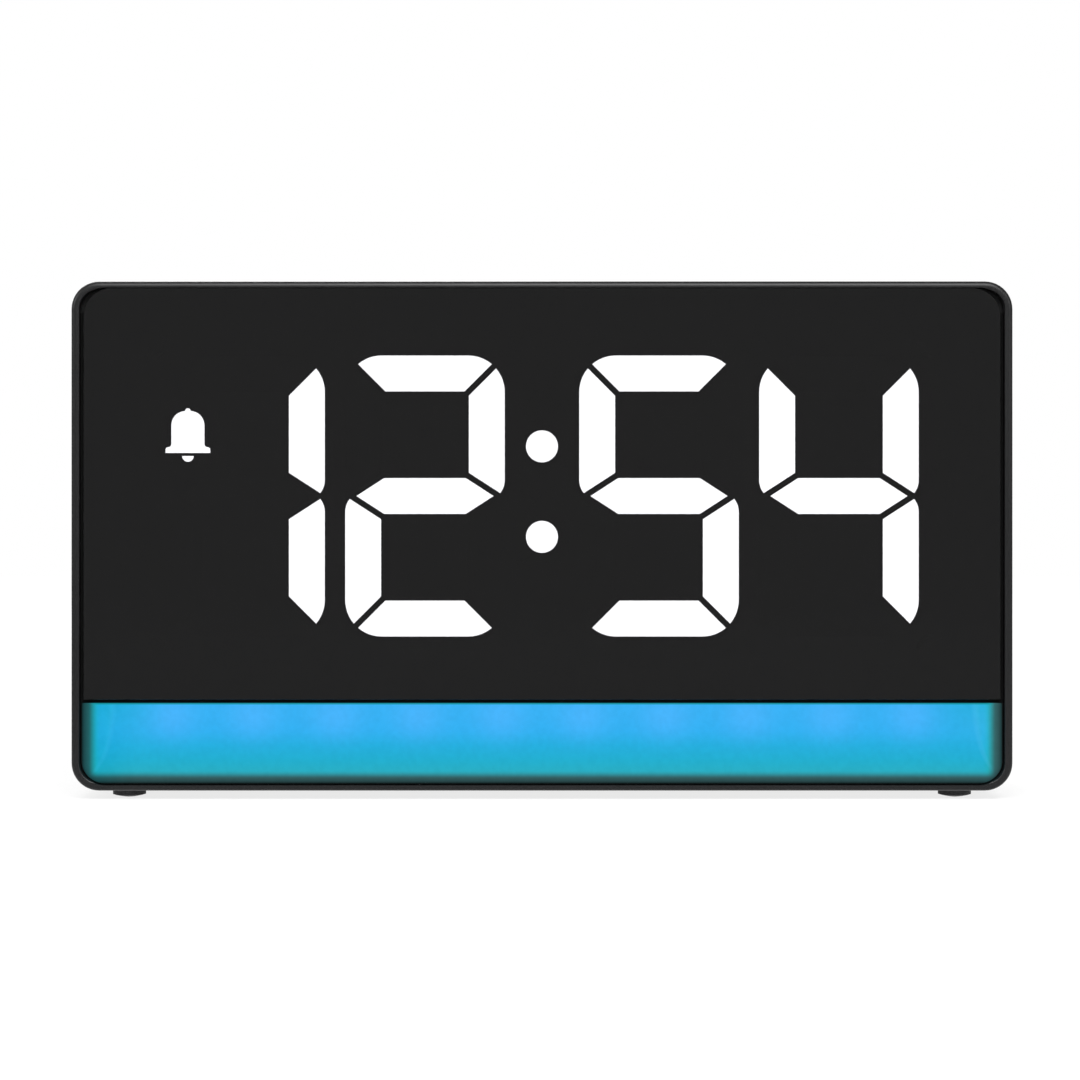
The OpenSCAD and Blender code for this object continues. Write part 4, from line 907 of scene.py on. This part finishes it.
# The battery door: a black plate over the coin cell, on two small pins at its lower edge, with
# a thumb notch at its top and grip grooves under it. A round pad inside holds the cell down.
door_low, door_high = (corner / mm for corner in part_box("battery_door"))
door_wide, door_thick, door_corner, door_foot_round = 30.0, 1.8, 2.0, 0.88
door_x = (door_low.x + door_high.x) / 2
door_foot, door_top = door_low.z, door_high.z
door_out = door_high.y
door_back = door_out - door_thick
door = block("battery_door_plate", (door_x - door_wide / 2, door_back, door_foot),
             (door_x + door_wide / 2, door_out, door_top))
round_top_corners(door_top, door_corner)
select_where("edges", lambda edge: at_level(2, door_foot)(edge) and runs_along(edge, 0))
round_edges(door_foot_round, 6)
end_edit()

notch_radius, notch_depth = 4.5, 0.8
notch = rod("notch", (door_x, door_out, door_top), notch_radius, 2 * notch_depth, 1, 48)
end_edit()
combine(door, notch, "DIFFERENCE")

groove_count, groove_pitch, groove_long, groove_tall = 4, 1.8, 12.0, 0.8
groove_drop, groove_depth, groove_corner, groove_past = 8.0, 0.35, 0.38, 0.5
groove_z = door_top - groove_drop
groove = block("groove",
               (door_x - groove_long / 2, door_out - groove_depth, groove_z - groove_tall / 2),
               (door_x + groove_long / 2, door_out + groove_past, groove_z + groove_tall / 2))
round_corners(1, groove_corner, 4)
end_edit()
repeat_in_row(groove, groove_count, 2, -groove_pitch)
combine(door, groove, "DIFFERENCE")

pin_radius, pin_edge = 0.4, 0.12
pin_place = (door_x, (door_back + door_out) / 2, door_foot + door_thick / 2)
door_pins = rod("door_pins", pin_place, pin_radius, door_high.x - door_low.x, 0, 20)
soften_rim(0, door_low.x, pin_edge, 3)
soften_rim(0, door_high.x, pin_edge, 3)
end_edit()
pad_radius, pad_depth, pad_edge = 4.0, 0.8, 0.2
pad_place = (door_x, door_low.y + pad_depth / 2, door_foot + door_wide / 2)
door_pad = rod("door_pad", pad_place, pad_radius, pad_depth, 1, 48)
soften_rim(1, door_low.y, pad_edge, 3)
end_edit()
combine(door, door_pins, "UNION")
combine(door, door_pad, "UNION")
close_piece(door, case_plastic, "battery_door", "case_plastic", "battery_door")


# The backup cell: a steel coin cell in the bay behind the door, its can rolled over the edge,
# with a plus sign pressed into the face that shows.
cell_low, cell_high = (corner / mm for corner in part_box("backup_cell"))
cell_x, cell_z = (cell_low.x + cell_high.x) / 2, (cell_low.z + cell_high.z) / 2
cell_radius, can_round = (cell_high.x - cell_low.x) / 2, 0.45
cap_ring, cap_sink = 1.2, 0.15
roll_width, roll_slant, roll_drop = 0.5, 0.09, 0.08
cell = rod("coin_cell", (cell_x, (cell_low.y + cell_high.y) / 2, cell_z), cell_radius,
           cell_high.y - cell_low.y, 1, 72)
soften_rim(1, cell_high.y, can_round, 4)
select_where("faces", at_level(1, cell_low.y))
bpy.ops.mesh.inset(thickness=cap_ring * mm, depth=0.0)
bpy.ops.mesh.extrude_region_move(TRANSFORM_OT_translate={"value": along(1, cap_sink)})
select_where("faces", at_level(1, cell_high.y))
bpy.ops.mesh.inset(thickness=roll_width * mm, depth=0.0)
bpy.ops.mesh.inset(thickness=roll_slant * mm, depth=-roll_drop * mm)
end_edit()

plus_long, plus_stroke, plus_up, plus_deep, plus_past = 5.0, 0.9, 4.6, 0.35, 0.5
plus_z = cell_z + plus_up
for wide, tall in ((plus_long, plus_stroke), (plus_stroke, plus_long)):
    mark = block("mark", (cell_x - wide / 2, cell_high.y - plus_deep, plus_z - tall / 2),
                 (cell_x + wide / 2, cell_high.y + plus_past, plus_z + tall / 2))
    end_edit()
    combine(cell, mark, "DIFFERENCE")
cell_steel = grained("satin_cell_steel", ink(158, 160, 162), ink(180, 182, 184), (0.3, 0.3, 0.3),
                     (0.3, 0.36), 0.001, metal=1.0)
close_piece(cell, cell_steel, "case", "steel", "backup_cell")


# The case screws: four self-tapping steel screws with domed cross-recess heads, sunk in deep
# round wells in the corners of the back cover.
screw_low, screw_high = (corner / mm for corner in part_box("case_screws"))
head_radius, head_tall, head_round = 2.7, 2.0, 0.9
shank_radius, point_long, point_share = 1.4, 1.2, 0.4
recess_long, recess_wide, recess_floor, recess_end = 3.0, 0.75, 0.9, 3.0
seat_y, point_y = screw_high.y - head_tall, screw_low.y + point_long
well_x = screw_high.x - head_radius
well_low, well_high = screw_low.z + head_radius, screw_high.z - head_radius
shank_share = shank_radius / head_radius
screw = rod("case_screw", (-well_x, seat_y + head_tall / 2, well_low), head_radius, head_tall,
            1, 40)
soften_rim(1, screw_high.y, head_round, 5)
select_where("faces", at_level(1, seat_y))
step_face((shank_share, 1, shank_share), (-well_x, seat_y, well_low), 1, point_y - seat_y)
step_face((point_share, 1, point_share), (-well_x, point_y, well_low), 1, -point_long)
end_edit()
for wide, tall in ((recess_long, recess_wide), (recess_wide, recess_long)):
    recess = block("recess", (-well_x - wide / 2, seat_y + recess_floor, well_low - tall / 2),
                   (-well_x + wide / 2, seat_y + recess_end, well_low + tall / 2))
    end_edit()
    combine(screw, recess, "DIFFERENCE")
well_rise = well_high - well_low
other_screws = [copy_of(screw, "case_screw", move) for move in (
    (0, 0, well_rise), (2 * well_x, 0, 0), (2 * well_x, 0, well_rise))]
join_pieces(screw, *other_screws)
screw.name = "case_screw_set"
close_piece(screw, steel, "case", "steel", "case_screws")
